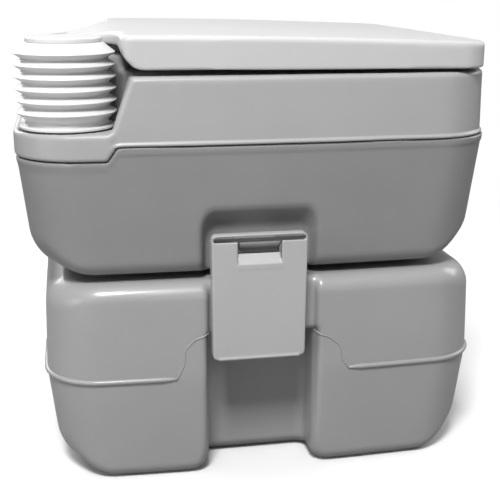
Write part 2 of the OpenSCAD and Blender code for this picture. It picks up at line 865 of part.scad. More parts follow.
module lid_shell() {
    lug_arm_h = tongue_rear_z - hinge_z - 2;
    color(lid_grey) {
        difference() {
            lid_body(0, lid_z);
            lid_body(shell_wall, lid_z - over);
            translate([lid_rear_x - over, -tongue_half_w + shell_wall, lid_z - over])
                cube([2 * over + shell_wall, 2 * (tongue_half_w - shell_wall), hinge_z + 9 - lid_z]);
            translate([lid_rear_x - over, -lid_notch_half_w, lid_z - over])
                cube([cheek_x[1] - lid_rear_x + 2 * over, 2 * lid_notch_half_w, cheek_top_z - lid_z + 6]);
        }
        lid_tongue();
        both_sides() hinge_lug(lid_lug_y, lid_lug_w, 30, 0, lug_arm_h);
    }
}

module lid_bumpers() {
    low_z = seat_z + seat_h + pad_gap;
    color(rubber_black) for (x = [-1, 1], y = [-1, 1]) {
        at_x = bowl_x + x * bumper_x;
        translate([at_x, y * bumper_y, low_z])
            cylinder(r = bumper_r, h = lid_top_z(at_x + bumper_r) - shell_wall - slice - low_z);
    }
}

// ---------- latches ----------

module latch() {
    inner_y = latch_plate_y - latch_cheek_y;
    bottom_z = latch_top_z - latch_h;
    left_x = latch_x - latch_w / 2;
    difference() {
        translate([latch_x, latch_plate_y + latch_plate_t, (latch_top_z + bottom_z) / 2]) rotate([90, 0, 0])
            linear_extrude(latch_plate_t) rounded_rect(latch_w, latch_h, latch_corner_r);
        translate([latch_x - latch_window_w / 2, latch_plate_y - over, latch_bar_z - 3 - latch_window_h])
            cube([latch_window_w, latch_plate_t + 2 * over, latch_window_h]);
    }
    for (x = [left_x, left_x + latch_w - latch_cheek_t]) {
        translate([x, latch_cheek_y, bottom_z + latch_corner_r])
            cube([latch_cheek_t, inner_y + slice, latch_bar_z - bottom_z - latch_corner_r]);
        translate([0, latch_bar_y, latch_bar_z]) bar_x(4, x, latch_cheek_t);
        translate([x, latch_bar_y, latch_bar_z - 4]) cube([latch_cheek_t, inner_y - 2 + slice, 8]);
    }
    translate([0, latch_bar_y, latch_bar_z]) bar_x(latch_bar_r, left_x + slice, latch_w - 2 * slice);
    translate([left_x + 6, catch_y, catch_z]) cube([latch_w - 12, latch_plate_y - catch_y + slice, catch_t]);
}

module latch_left() {
    color(latch_grey) latch();
}

module latch_right() {
    color(latch_grey) mirror([0, 1, 0]) latch();
}

waste_tank();
valve_base();
valve_seal();
valve_cover();
valve_screws();
tank_gasket();
valve_plate();
valve_handle();
drain_cap();
drain_cap_gasket();
flush_tub();
top_deck();
bowl();
bowl_gasket();
bowl_screws();
pump_base();
pump_gasket();
pump_bellows();
pump_cap();
inlet_cage();
inlet_ball();
pickup_tube();
pickup_strainer();
flush_hose();
spray_nozzle();
hinge_pin_right();
hinge_pin_left();
seat_ring();
seat_bumpers();
lid_shell();
lid_bumpers();
fill_cap();
fill_cap_gasket();
latch_right();
latch_left();
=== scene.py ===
"""The looks of the portable camp toilet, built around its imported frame.

Shapes are worked out in millimetres, in the frame of the CAD model: +X is the front, +Z is up, and a seated
user's right hand is on the -Y side. A mesh turns its millimetres into metres when it is made.
The moulded shells are signed distance fields (negative inside the plastic) sampled on a grid and meshed.
"""
import json
import math

import bpy
import numpy as np
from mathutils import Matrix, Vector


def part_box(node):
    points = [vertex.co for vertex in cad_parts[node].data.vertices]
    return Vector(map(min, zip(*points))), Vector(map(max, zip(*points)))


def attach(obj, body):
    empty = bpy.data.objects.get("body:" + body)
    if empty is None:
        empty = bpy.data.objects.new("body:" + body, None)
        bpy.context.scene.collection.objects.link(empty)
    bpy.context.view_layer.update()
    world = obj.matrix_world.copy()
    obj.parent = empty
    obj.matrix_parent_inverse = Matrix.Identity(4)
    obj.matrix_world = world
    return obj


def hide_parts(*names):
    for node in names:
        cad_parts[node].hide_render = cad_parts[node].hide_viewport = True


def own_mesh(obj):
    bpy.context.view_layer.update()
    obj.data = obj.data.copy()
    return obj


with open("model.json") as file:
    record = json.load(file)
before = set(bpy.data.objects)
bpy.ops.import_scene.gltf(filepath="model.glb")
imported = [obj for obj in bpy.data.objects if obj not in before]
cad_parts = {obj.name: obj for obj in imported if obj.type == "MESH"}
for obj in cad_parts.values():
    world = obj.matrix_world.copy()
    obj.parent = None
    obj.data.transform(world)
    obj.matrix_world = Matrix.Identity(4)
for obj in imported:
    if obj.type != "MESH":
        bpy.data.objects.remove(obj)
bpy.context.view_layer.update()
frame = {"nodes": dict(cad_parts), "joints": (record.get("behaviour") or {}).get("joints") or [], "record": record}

import openvdb
from mathutils import Matrix, Vector

MM = 0.001
SIDES = (("right", -1), ("left", 1))


# ---------------- places taken from the frame

def box_mm(node):
    """The lowest and highest corners of a CAD node at rest, in millimetres."""
    low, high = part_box(node)
    return np.array(low) / MM, np.array(high) / MM


def middle(node):
    """The centre of a CAD node's box, in millimetres."""
    low, high = box_mm(node)
    return (low + high) / 2


tank_low, tank_high = box_mm("waste_tank")
tub_low, tub_high = box_mm("flush_tub")
deck_low, deck_high = box_mm("top_deck")
lid_high = box_mm("lid_shell")[1]
plate_low, plate_high = box_mm("latch_left")
joint_at = {j["name"]: np.array(j["pos_m"]) / MM for j in frame["joints"] if "pos_m" in j}

GASKET_RISE = 5.9     # from the waste tank's top to the top of its gasket
PUMP_RECESS = 3       # depth of the recess for the pump's gasket in the corner's ledge

TANK_X = (tank_low[0] + tank_high[0]) / 2
TANK_HALF_L = (tank_high[0] - tank_low[0]) / 2
TANK_TOP = box_mm("tank_gasket")[1][2] - GASKET_RISE
TUB_BOTTOM = tub_low[2]
SEAM_Z = tub_high[2]
DECK_X = (deck_low[0] + deck_high[0]) / 2
DECK_HALF_L = (deck_high[0] - deck_low[0]) / 2
DECK_TOP = box_mm("seat_bumpers")[0][2]
REAR_SEAM_Z = deck_low[2]
PUMP_X, PUMP_Y = middle("pump_cap")[:2]
LEDGE_Z = box_mm("pump_gasket")[0][2] + PUMP_RECESS
HINGE = joint_at["seat_hinge"]
LATCH_BAR = joint_at["left_latch_hinge"]

CHANNEL_X = -5        # middle of the hand channel in the tank's side
CHANNEL_HALF = 48
STEP_X = -132         # middle of the step by which the seam between tub and deck drops to the rear
STEP_HALF = 4
BOWL_X = 20


# ---------------- distance fields

FIELD_DEPTH = 6.0     # a field is levelled off this far from its surface
LEAST_STEP = 0.4      # the least share of a sampling step that is taken
BISECTIONS = 30


def round_and(a, b, r):
    """The overlap of two bodies, its edge rounded to radius r."""
    u = np.maximum(a + r, 0)
    v = np.maximum(b + r, 0)
    return np.minimum(np.maximum(a, b), -r) + np.sqrt(u * u + v * v)


def round_or(a, b, r):
    """Two bodies joined, the hollow between them filled to radius r."""
    return -round_and(-a, -b, r)


def cut(a, b, r):
    """Body a without body b, the edge between them rounded to radius r."""
    return round_and(a, -b, r)


def ease(t):
    """0 to 1, level at both ends."""
    t = np.clip(t, 0, 1)
    return t * t * (3 - 2 * t)


def from_axis(a, b):
    """The distance from an axis, from the two distances across it."""
    return np.sqrt(a ** 2 + b ** 2)


def rect(x, y, half_x, half_y, r):
    """A rectangle about the origin with round corners."""
    return round_and(np.abs(x) - half_x, np.abs(y) - half_y, r)


def spaced(low, high, step, fine=()):
    """Sample places from low to high. fine lists (from, to, step) stretches that are sampled more closely.

    A step stops early where a stretch begins, but keeps at least LEAST_STEP of its length.
    """
    places = [low]
    while places[-1] < high:
        here = places[-1]
        steps = [s for a, b, s in fine if a - s <= here < b]
        ahead = [a for a, b, s in fine if here < a < here + step]
        reach = min(steps) if steps else step
        places.append(min([here + reach] + [a for a in ahead if a > here + reach * LEAST_STEP]))
    return np.array(places)


def both_ways(fine):
    """The same fine stretches on the negative side as well."""
    return list(fine) + [(-b, -a, s) for a, b, s in fine]


class Grid:
    """A grid of sample places whose spacing may vary along each axis."""

    def __init__(self, xs, ys, zs):
        self.axes = (xs, ys, zs)
        self.x = xs[:, None, None]
        self.y = ys[None, :, None]
        self.z = zs[None, None, :]

    def mesh(self, name, field):
        """The surface where the field is zero, as a smooth mesh."""
        volume = openvdb.FloatGrid(FIELD_DEPTH)
        shape = [len(a) for a in self.axes]
        full = np.broadcast_to(field, shape).astype(np.float32)
        volume.copyFromArray(np.ascontiguousarray(np.clip(full, -FIELD_DEPTH, FIELD_DEPTH)))
        points, triangles, quads = volume.convertToPolygons(isovalue=0.0, adaptivity=0.0)
        places = [np.interp(points[:, k], np.arange(shape[k]), self.axes[k]) for k in range(3)]
        faces = [tuple(f) for group in (quads, triangles) for f in group[:, ::-1].tolist()]
        return new_mesh(name, np.stack(places, -1), faces)


# ---------------- meshes

AXIS_R = 0.01         # a closed end of a turned profile stops this far from the axis


def new_mesh(name, points_mm, faces, smooth=True):
    """A mesh object from points in millimetres, with its faces turned outwards."""
    mesh = bpy.data.meshes.new(name)
    mesh.from_pydata((np.asarray(points_mm, float) * MM).tolist(), [], faces)
    mesh.validate()
    piece = bpy.data.objects.new(name, mesh)
    bpy.context.scene.collection.objects.link(piece)
    if signed_volume(mesh) < 0:
        mesh.flip_normals()
    mesh.polygons.foreach_set("use_smooth", [smooth] * len(mesh.polygons))
    return piece


def signed_volume(mesh):
    """The volume inside a closed mesh, negative if its faces point inwards."""
    mesh.calc_loop_triangles()
    corners = np.zeros(len(mesh.loop_triangles) * 3, np.int32)
    mesh.loop_triangles.foreach_get("vertices", corners)
    places = np.zeros(len(mesh.vertices) * 3, np.float32)
    mesh.vertices.foreach_get("co", places)
    a, b, c = places.reshape(-1, 3)[corners.reshape(-1, 3)].astype(float).transpose(1, 0, 2)
    return float((a * np.cross(b, c)).sum() / 6)


def tube_faces(rings, around, closed_ends=True, looped=False):
    """The quads between rings of points, and flat caps on the first and last ring."""
    faces = []
    for i in range(rings if looped else rings - 1):
        low, high = i * around, ((i + 1) % rings) * around
        faces += [(low + j, low + (j + 1) % around, high + (j + 1) % around, high + j) for j in range(around)]
    if closed_ends and not looped:
        faces.append(tuple(reversed(range(around))))
        faces.append(tuple(range((rings - 1) * around, rings * around)))
    return faces


def lathe(name, profile, around=128, looped=False, ripple=None):
    """A profile of (radius, height) points turned about Z. ripple(angle, height) scales the radius."""
    angles = np.linspace(0, 2 * np.pi, around, endpoint=False)
    points = []
    for r, z in profile:
        radius = r * (ripple(angles, z) if ripple else np.ones(around))
        points.append(np.stack([radius * np.cos(angles), radius * np.sin(angles), np.full(around, z)], -1))
    return new_mesh(name, np.concatenate(points), tube_faces(len(profile), around, looped=looped))


def rounded_profile(corners, radii, steps=6):
    """A polyline with each inner corner rounded. A curve takes up less than half of each side it joins."""
    most = 0.49
    corners = [np.array(c, float) for c in corners]
    out = [corners[0]]
    for before, here, after, r in zip(corners, corners[1:], corners[2:], radii):
        into = (here - before) / np.linalg.norm(here - before)
        away = (after - here) / np.linalg.norm(after - here)
        turn = math.acos(np.clip(into @ away, -1, 1))
        if r <= 0 or turn < 1e-3:
            out.append(here)
            continue
        reach = min(r * math.tan(turn / 2), np.linalg.norm(here - before) * most,
                    np.linalg.norm(after - here) * most)
        start, end = here - into * reach, here + away * reach
        for t in np.linspace(0, 1, steps + 1):
            out.append((1 - t) ** 2 * start + 2 * t * (1 - t) * here + t * t * end)
    out.append(corners[-1])
    return out


def sweep(name, path, radius, around=12, closed=False):
    """A round cord along a path of points."""
    path = np.asarray(path, float)
    ahead = np.roll(path, -1, 0) - np.roll(path, 1, 0)
    if not closed:
        ahead[0], ahead[-1] = path[1] - path[0], path[-1] - path[-2]
    ahead /= np.linalg.norm(ahead, axis=1)[:, None]
    side = np.cross(ahead, [0.0, 0.0, 1.0])
    flat = np.linalg.norm(side, axis=1) < 1e-6
    side[flat] = [0.0, 1.0, 0.0]
    side /= np.linalg.norm(side, axis=1)[:, None]
    rise = np.cross(side, ahead)
    angles = np.linspace(0, 2 * np.pi, around, endpoint=False)
    radius = np.broadcast_to(radius, len(path))
    rings = [p + r * (np.outer(np.cos(angles), s) + np.outer(np.sin(angles), u))
             for p, r, s, u in zip(path, radius, side, rise)]
    return new_mesh(name, np.concatenate(rings), tube_faces(len(path), around, looped=closed))


def place(piece, at_mm, turn=None):
    """Moves a mesh's points to a place, after an optional turn."""
    matrix = Matrix.Translation(Vector(at_mm) * MM)
    if turn is not None:
        matrix = matrix @ turn
    piece.data.transform(matrix)
    return piece


def mirrored(piece, name):
    """A copy of a mesh on the other side of the middle plane, Y turned to -Y."""
    data = piece.data.copy()
    data.transform(Matrix.Scale(-1, 4, Vector((0, 1, 0))))
    data.flip_normals()
    copy = bpy.data.objects.new(name, data)
    bpy.context.scene.collection.objects.link(copy)
    return copy


def dress(piece, body, slot, material, *nodes):
    """Gives a piece its material and the body it rides on, and the CAD nodes that it stands for."""
    piece.data.materials.clear()
    piece.data.materials.append(material)
    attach(piece, body)
    if nodes:
        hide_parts(*nodes)
    return piece


# ---------------- materials

BLOTCH_MM = 60        # size of the slow changes of colour
PATCH_MM = 14         # size of the changes of roughness
WAVE_MM = 35          # size of the wall's waviness
NOISE_RANGE = (0.3, 0.7)
COAT_ROUGHNESS = 0.16
SPECULAR = 0.45
MIX_FACTOR, MIX_A, MIX_B, MIX_RESULT = 0, 6, 7, 2    # a Mix node's sockets for colours


def plastic(name, colour, roughness, grain_mm=0.5, grain=0.12, wave=0.05, mottle=0.03, sheen=0.0,
            gloss=0.0):
    """Moulded plastic: a slightly mottled colour, a fine surface grain and a slow waviness of the wall.

    gloss adds a clear coat, whose highlights are sharper than the plastic's own.
    """
    material = bpy.data.materials.new(name)
    material.use_nodes = True
    nodes, links = material.node_tree.nodes, material.node_tree.links
    shader = nodes["Principled BSDF"]
    place_node = nodes.new("ShaderNodeTexCoord")

    def noise(scale_mm, detail):
        texture = nodes.new("ShaderNodeTexNoise")
        texture.inputs["Scale"].default_value = 1 / (scale_mm * MM)
        texture.inputs["Detail"].default_value = detail
        links.new(place_node.outputs["Object"], texture.inputs["Vector"])
        return texture

    def spread(texture, low, high):
        ramp = nodes.new("ShaderNodeMapRange")
        for socket, value in zip(("From Min", "From Max", "To Min", "To Max"), (*NOISE_RANGE, low, high)):
            ramp.inputs[socket].default_value = value
        links.new(texture.outputs["Fac"], ramp.inputs["Value"])
        return ramp

    def bump(texture, strength, height_mm):
        node = nodes.new("ShaderNodeBump")
        node.inputs["Strength"].default_value = strength
        node.inputs["Distance"].default_value = height_mm * MM
        links.new(texture.outputs["Fac"], node.inputs["Height"])
        return node

    blotch = noise(BLOTCH_MM, 3)
    tint = nodes.new("ShaderNodeMix")
    tint.data_type = "RGBA"
    tint.inputs[MIX_A].default_value = (*[c * (1 - mottle) for c in colour], 1)
    tint.inputs[MIX_B].default_value = (*[min(1, c * (1 + mottle)) for c in colour], 1)
    links.new(spread(blotch, 0, 1).outputs["Result"], tint.inputs[MIX_FACTOR])
    links.new(tint.outputs[MIX_RESULT], shader.inputs["Base Color"])

    rough = spread(noise(PATCH_MM, 4), roughness * 0.9, roughness * 1.1)
    links.new(rough.outputs["Result"], shader.inputs["Roughness"])

    slow = bump(noise(WAVE_MM, 1), wave, 1.0)
    fine = bump(noise(grain_mm, 2), grain, 0.1)
    links.new(slow.outputs["Normal"], fine.inputs["Normal"])
    links.new(fine.outputs["Normal"], shader.inputs["Normal"])
    for socket, value in (("Specular IOR Level", SPECULAR), ("Sheen Weight", sheen),
                          ("Coat Weight", gloss), ("Coat Roughness", COAT_ROUGHNESS)):
        shader.inputs[socket].default_value = value
    return material


def metal(name, colour, roughness):
    """Turned steel with fine scratches."""
    material = plastic(name, colour, roughness, grain_mm=0.3, grain=0.05, wave=0.0)
    material.node_tree.nodes["Principled BSDF"].inputs["Metallic"].default_value = 1.0
    return material


def clear_tube(name, colour):
    """Milky flexible tube that lets some light through."""
    material = plastic(name, colour, 0.25, grain=0.03, wave=0.1)
    shader = material.node_tree.nodes["Principled BSDF"]
    shader.inputs["Transmission Weight"].default_value = 0.35
    return material


def grey(level):
    """A grey that is very slightly cool."""
    return (level, level, level * 1.005)


deck_plastic = plastic("deck_plastic", grey(0.37), 0.38, mottle=0.02)
# the tub: a darker copy of the deck's grey; part of its darkness is painted shade for walls that lean in and face
# a little downwards
tub_plastic_painted_shade = plastic("tub_plastic_painted_shade", grey(0.24), 0.40, mottle=0.03, wave=0.08)
tank_plastic = plastic("tank_plastic", grey(0.33), 0.40, mottle=0.025, wave=0.09, gloss=0.4)
lid_plastic = plastic("lid_plastic", grey(0.51), 0.48, mottle=0.015)
bowl_plastic = plastic("bowl_plastic", grey(0.62), 0.25, mottle=0.01, grain=0.04)
latch_plastic = plastic("latch_plastic", grey(0.42), 0.40, mottle=0.02, grain=0.15)
pump_plastic = plastic("pump_plastic", grey(0.68), 0.32, mottle=0.01, grain=0.04, wave=0.03)
dark_plastic = plastic("dark_plastic", grey(0.08), 0.45, grain=0.2)
seal_rubber = plastic("seal_rubber", grey(0.02), 0.75, grain=0.3, sheen=0.1)
screw_steel = metal("screw_steel", grey(0.55), 0.3)
tube_plastic = clear_tube("tube_plastic", (0.70, 0.74, 0.75))

CAD_FINISH = {
    "tank_plastic": tank_plastic, "lid_plastic": lid_plastic, "latch_plastic": latch_plastic,
    "pump_plastic": pump_plastic, "valve_plastic": dark_plastic, "seal_rubber": seal_rubber,
    "screw_steel": screw_steel, "hose_plastic": tube_plastic,
}


# ---------------- waste tank

TANK_WALL = 5.4
TANK_HALF_W = 171.5
TANK_SWELL = 7.5      # bulge of a side at its middle
TANK_CORNER_R = 46
END_DRAFT = 0.105     # how far the ends lean in per millimetre of depth, on the tank and on the tub
SIDE_DRAFT = 0.06
UPPER_END_DRAFT = 0.03
UPPER_SIDE_DRAFT = 0.012

CHANNEL_BACK_Y = 135
CHANNEL_EDGE_R = 7
CHANNEL_FOOT_R = 17   # the radius of the channel's edges where they reach the ground
CHANNEL_FOOT_H = 30
LEDGE_UNDER_Z = 134   # underside of the ledge that a latch hooks under
LEDGE_FACE_Y = 171

TANK_BEAD_Z = 98
BEAD_R = 2.3
BEAD_TIP_R = 1.2
BEAD_END_FRONT = 74
BEAD_END_REAR = -82
BEAD_GAP_HALF = 50    # half of the gap in the rear bead at the drain's pocket
PARTING_R = 0.7
PARTING_FRONT = [(74, 98.5), (68, 106), (65, 121), (55, 129), (43, 133)]
PARTING_REAR = [(-82, 98.5), (-76, 111), (-75, 125), (-66, 134), (-53, 138)]

VALVE_POCKET_REAR_X = -72
VALVE_POCKET_HALF_W = 62
VALVE_POCKET_D = 13
VALVE_BORE_R = 45
VALVE_BORE_LOW_Z = 160
DRAIN_Z = 115
DRAIN_POCKET_X = -165
DRAIN_POCKET_HALF = 46
DRAIN_NECK_X = (-181, -163)
DRAIN_NECK_R = 24
DRAIN_BORE_R = 19
DRAIN_BORE_END_X = -150
PAD_X = (-120, 140)
PAD_Y = 110
PAD_R = 12
PAD_MIDDLE = 1        # from the tank's top to the middle of a pad's height
PAD_HALF_H = 4.95


def edge_radius(ends, sides, side_r, end_r):
    """The radius of a long edge: side_r along the sides, growing to end_r round the ends."""
    return side_r + (end_r - side_r) * ease((ends - sides + 45) / 60)


def tank_outline(x, y, z):
    """The plan of the waste tank at a height: its ends and sides taper in below the bead."""
    below = np.maximum(TANK_BEAD_Z - z, 0)
    above = np.maximum(z - TANK_BEAD_Z, 0)
    along = (x - TANK_X) / TANK_HALF_L
    swell = TANK_SWELL * (1 - along * along)
    ends = np.abs(x - TANK_X) - TANK_HALF_L + END_DRAFT * below + UPPER_END_DRAFT * above
    sides = np.abs(y) - TANK_HALF_W - swell + SIDE_DRAFT * below + UPPER_SIDE_DRAFT * above
    return ends, sides


def tank_body(x, y, z):
    """The waste tank without its hollow."""
    ends, sides = tank_outline(x, y, z)
    plan = round_and(ends, sides, TANK_CORNER_R)
    body = round_and(plan, -z, edge_radius(ends, sides, 13, 40))
    body = round_and(body, z - TANK_TOP, edge_radius(ends, sides, 15, 24))
    across = np.abs(x - CHANNEL_X) - CHANNEL_HALF
    edge_r = CHANNEL_EDGE_R + (CHANNEL_FOOT_R - CHANNEL_EDGE_R) * ease((CHANNEL_FOOT_H - z) / CHANNEL_FOOT_H)
    channel = np.maximum(round_and(across, CHANNEL_BACK_Y - np.abs(y), 9), z - LEDGE_UNDER_Z)
    body = cut(body, channel, edge_r)
    return cut(body, round_and(across, LEDGE_FACE_Y - np.abs(y), 2.5), 6)


def tank_pockets(body, x, y, z):
    """Cuts the open pocket for the slide valve and the one round the drain neck."""
    valve = round_and(VALVE_POCKET_REAR_X - x, np.abs(y) - VALVE_POCKET_HALF_W, 6)
    body = cut(body, round_and(valve, TANK_TOP - VALVE_POCKET_D - z, 2), 3)
    drain = rect(y, z - DRAIN_Z, DRAIN_POCKET_HALF, DRAIN_POCKET_HALF, 14)
    return cut(body, round_and(drain, x - DRAIN_POCKET_X, 4), 4)


def waste_tank():
    """The hollow tank with its channels, its pockets, the drain's neck, the valve's bore and four pads."""
    xs = spaced(-200, 210, 4.5, [(-196, -160, 2.6), (-64, -42, 1.8), (32, 54, 1.8), (166, 206, 2.6)])
    ys = spaced(-184, 184, 6, both_ways([(120, 140, 2.2), (140, 182, 2.4), (40, 66, 2.5)]))
    zs = spaced(-4, TANK_TOP + 10, 5, [(-2, 24, 2.0), (62, 76, 2.0), (128, 142, 1.7), (154, 194, 1.7)])
    g = Grid(xs, ys, zs)
    body = tank_pockets(tank_body(g.x, g.y, g.z), g.x, g.y, g.z)
    shell = np.maximum(body, -(body + TANK_WALL))
    around = from_axis(g.y, g.z - DRAIN_Z)
    neck = round_and(around - DRAIN_NECK_R, np.maximum(DRAIN_NECK_X[0] - g.x, g.x - DRAIN_NECK_X[1]), 1)
    shell = np.minimum(shell, neck)
    shell = np.maximum(shell, -np.maximum(around - DRAIN_BORE_R, g.x - DRAIN_BORE_END_X))
    bore = np.maximum(from_axis(g.x, g.y) - VALVE_BORE_R, VALVE_BORE_LOW_Z - g.z)
    shell = np.maximum(shell, -bore)
    for x in PAD_X:
        pad = from_axis(g.x - x, np.abs(g.y) - PAD_Y) - PAD_R
        shell = np.minimum(shell, round_and(pad, np.abs(g.z - TANK_TOP - PAD_MIDDLE) - PAD_HALF_H, 1.5))
    dress(g.mesh("tank_shell", shell), "waste_unit", "tank_plastic", tank_plastic, "waste_tank")


def leaving(inside_at, near, far, count):
    """How far along each of count lines a body ends, between the distances near and far."""
    near = np.full(count, float(near))
    far = np.full(count, float(far))
    for _ in range(BISECTIONS):
        mid = (near + far) / 2
        hit = inside_at(mid)
        near, far = np.where(hit, mid, near), np.where(hit, far, mid)
    return (near + far) / 2


def tank_side_y(x, z, side):
    """Where the tank's side is met by a line along Y at each x and z."""
    return side * leaving(lambda y: tank_body(x, side * y, z) < 0, 100, 200, len(x))


def tank_end_path(front, z):
    """The line round one end of the tank at a height, from one side's bead end to the other's."""
    sign, start = (1, BEAD_END_FRONT) if front else (-1, BEAD_END_REAR)
    angles = np.linspace(-np.pi / 2, np.pi / 2, 121)

    def places(reach):
        return start + sign * reach * np.cos(angles), reach * np.sin(angles), np.full(len(angles), z)

    reach = leaving(lambda r: tank_body(*places(r)) < 0, 0, 300, len(angles))
    return np.stack(places(reach), -1)


def dense(line, step=0.8):
    """A polyline with points at about an even spacing."""
    line = np.array(line)
    along = np.concatenate([[0], np.cumsum(np.linalg.norm(np.diff(line, axis=0), axis=1))])
    t = np.linspace(0, along[-1], int(along[-1] / step) + 2)
    return np.stack([np.interp(t, along, line[:, k]) for k in range(line.shape[1])], -1)


def bead_radii(count):
    """The bead's radius at each point of a run, thinner at both ends."""
    from_end = np.minimum(np.arange(count), np.arange(count)[::-1])
    return np.minimum(BEAD_R, BEAD_TIP_R + 0.4 * from_end)


def tank_beads():
    """The raised bead round each end of the tank, and the fine parting line that runs on to the channel."""
    for name, front, parting in (("front", True, PARTING_FRONT), ("rear", False, PARTING_REAR)):
        path = tank_end_path(front, TANK_BEAD_Z)
        runs = {"": path}
        if not front:
            y = path[:, 1]
            runs = {"_right": path[y < -BEAD_GAP_HALF], "_left": path[y > BEAD_GAP_HALF]}
        for part, run in runs.items():
            bead = sweep(f"tank_bead_{name}{part}", run, bead_radii(len(run)), around=14)
            dress(bead, "waste_unit", "tank_plastic", tank_plastic)
        x, z = dense(rounded_profile(parting, [4, 6, 5])).T
        for side_name, side in SIDES:
            path = np.stack([x, tank_side_y(x, z, side), z], -1)
            line = sweep(f"tank_parting_line_{name}_{side_name}", path, PARTING_R, around=8)
            dress(line, "waste_unit", "tank_plastic", tank_plastic)


# ---------------- flush tub

TUB_WALL = 5.8
TUB_HALF_W = 171.8
TUB_SWELL = 5
TUB_CORNER_R = 50
TUB_INSET = 0.4       # how far the tub's ends stay inside the deck's
TUB_RIM = 0.6         # how far the tub's rim stands out
TUB_RIM_H = 8
SEAM_GAP = 0.3
OUTLET_HOLE_R = 50.2
NICHE_X = -7
NICHE_HALF = 49
NICHE_FLARE = 3       # how much wider each way the niche is at its mouth
NICHE_SIDE_SLOPE = 0.4
NICHE_TOP = 248
NICHE_RAKE = 1.1      # how far the ceiling drops per millimetre inwards
NICHE_RAKE_L = 1.49   # length of the ceiling's slope per millimetre inwards
NICHE_MOUTH_Y = 172
NICHE_BACK_Y = 158


def seam_height(x):
    """The height of the seam between tub and deck, which drops behind the step."""
    return REAR_SEAM_Z + (SEAM_Z - REAR_SEAM_Z) * np.clip((x - STEP_X + STEP_HALF) / (2 * STEP_HALF), 0, 1)


def behind_step(x):
    """0 ahead of the step's front end, rising to 1 within it."""
    return ease((STEP_X + STEP_HALF - x) / 5)


def tub_body(x, y, z):
    """The tub without its hollow and without its open top."""
    drop = SEAM_Z - z
    along = (x - DECK_X) / DECK_HALF_L
    rim = TUB_RIM * ease((z - seam_height(x) + TUB_RIM_H) / 2)
    ends = np.abs(x - DECK_X) - DECK_HALF_L + TUB_INSET + END_DRAFT * drop - rim
    sides = np.abs(y) - TUB_HALF_W - TUB_SWELL * (1 - along * along) + SIDE_DRAFT * drop - rim
    plan = round_and(ends, sides, TUB_CORNER_R)
    body = round_and(plan, TUB_BOTTOM - z, edge_radius(ends, sides, 14, 36))
    deep = np.maximum(NICHE_MOUTH_Y - np.abs(y), -6)
    across = np.abs(x - NICHE_X) - NICHE_HALF - NICHE_FLARE + NICHE_SIDE_SLOPE * deep
    ceiling = ((z - NICHE_TOP) + NICHE_RAKE * deep) / NICHE_RAKE_L
    niche = round_and(round_and(across, ceiling, 12), NICHE_BACK_Y - np.abs(y), 2.5)
    return cut(body, niche, 3)


def flush_tub():
    """The open tub, with a hole in its floor for the bowl's outlet."""
    xs = spaced(-217, 213, 5, [(-214, -165, 2.8), (-140, -124, 1.6), (-68, -44, 1.8), (30, 54, 1.8),
                               (160, 212, 2.8)])
    ys = spaced(-182, 182, 7, both_ways([(120, 150, 3), (150, 180, 2.2), (42, 54, 2)]))
    zs = spaced(TUB_BOTTOM - 3, SEAM_Z + 3, 4.5,
                [(TUB_BOTTOM - 2, 212, 2.0), (226, 252, 1.9), (289, SEAM_Z + 2, 1.3)])
    g = Grid(xs, ys, zs)
    body = tub_body(g.x, g.y, g.z)
    top = g.z - seam_height(g.x) + SEAM_GAP
    shell = np.maximum(body, -(body + TUB_WALL))
    shell = round_and(shell, top, 0.8)
    outlet = from_axis(g.x, g.y) - OUTLET_HOLE_R
    shell = np.maximum(shell, -outlet)
    dress(g.mesh("flush_tub_shell", shell), "flush_unit", "tank_plastic", tub_plastic_painted_shade, "flush_tub")


# ---------------- top deck

DECK_WALL = 5.4
DECK_TOP_WALL = 3.2
DECK_HALF_W = 172.3
DECK_SWELL = 5
DECK_CORNER_R = 54
DECK_END_INSET = 1.6  # how far the end walls stay inside the CAD deck's
DECK_TAPER = 0.6      # how far the walls lean in over the deck's height
LIP_R = 1.5
LIP_MIDDLE = 1.7      # from the seam to the middle of the lip
LIP_HALF_H = 1.9
WELL_R = 47.5
WELL_DRAFT = 0.05
STEP_LEAN = 17        # how far the step's face leans forward over STEP_RISE
STEP_RISE = 45
REAR_LEDGE_X = deck_low[0] + 9
CHEEK_X = -142        # middle of each raised cheek beside the hinge
CHEEK_Y = 84.5
CHEEK_HALF_L = 30
CHEEK_HALF_W = 21.5
CHEEK_H = 13
SCOOP_R = 24          # the hollow that the hinge turns in
SCOOP_HALF_W = 74.5
MOUTH_HALF_L = 120
MOUTH_HALF_W = 105
PUMP_RECESS_R = 40.6
PUMP_FLOOR_R = 43
PUMP_HOLE_R = 30.2
FILL_BORE_R = 18
FILL_NECK_R = 22
FILL_NECK_H = 14
FAR = 9               # a distance that stands for outside


def deck_outline(x, y, z):
    """The plan of the deck at a height, with the rounded lip that runs along its lower edge.

    Behind the step the wall above the lip stays as far out as the lip, as a flush collar.
    """
    along = (x - DECK_X) / DECK_HALF_L
    up = (z - seam_height(x) - LIP_MIDDLE) / LIP_HALF_H
    up = np.where(up > 0, up * (1 - behind_step(x)), up)
    lip = LIP_R * np.sqrt(np.maximum(1 - up * up, 0))
    taper = DECK_TAPER * ease((z - SEAM_Z) / 50)
    ends = np.abs(x - DECK_X) - DECK_HALF_L + DECK_END_INSET + taper - lip
    sides = np.abs(y) - DECK_HALF_W - DECK_SWELL * (1 - along * along) + taper - lip
    return round_and(ends, sides, DECK_CORNER_R)


def corner_well(x, y, z):
    """The open corner around the pump, and its mirror image around the filler."""
    side = np.abs(y)
    rise = z - LEDGE_Z
    well = from_axis(x - PUMP_X, side - abs(PUMP_Y)) - WELL_R - WELL_DRAFT * rise
    outer = np.maximum(x - STEP_X - STEP_LEAN * rise / STEP_RISE, abs(PUMP_Y) - side)
    rear = np.maximum(x - PUMP_X, abs(PUMP_Y) - WELL_R - WELL_DRAFT * rise - side)
    open_corner = np.minimum(round_or(well, outer, 8), rear)
    return round_and(open_corner, -rise, 4)


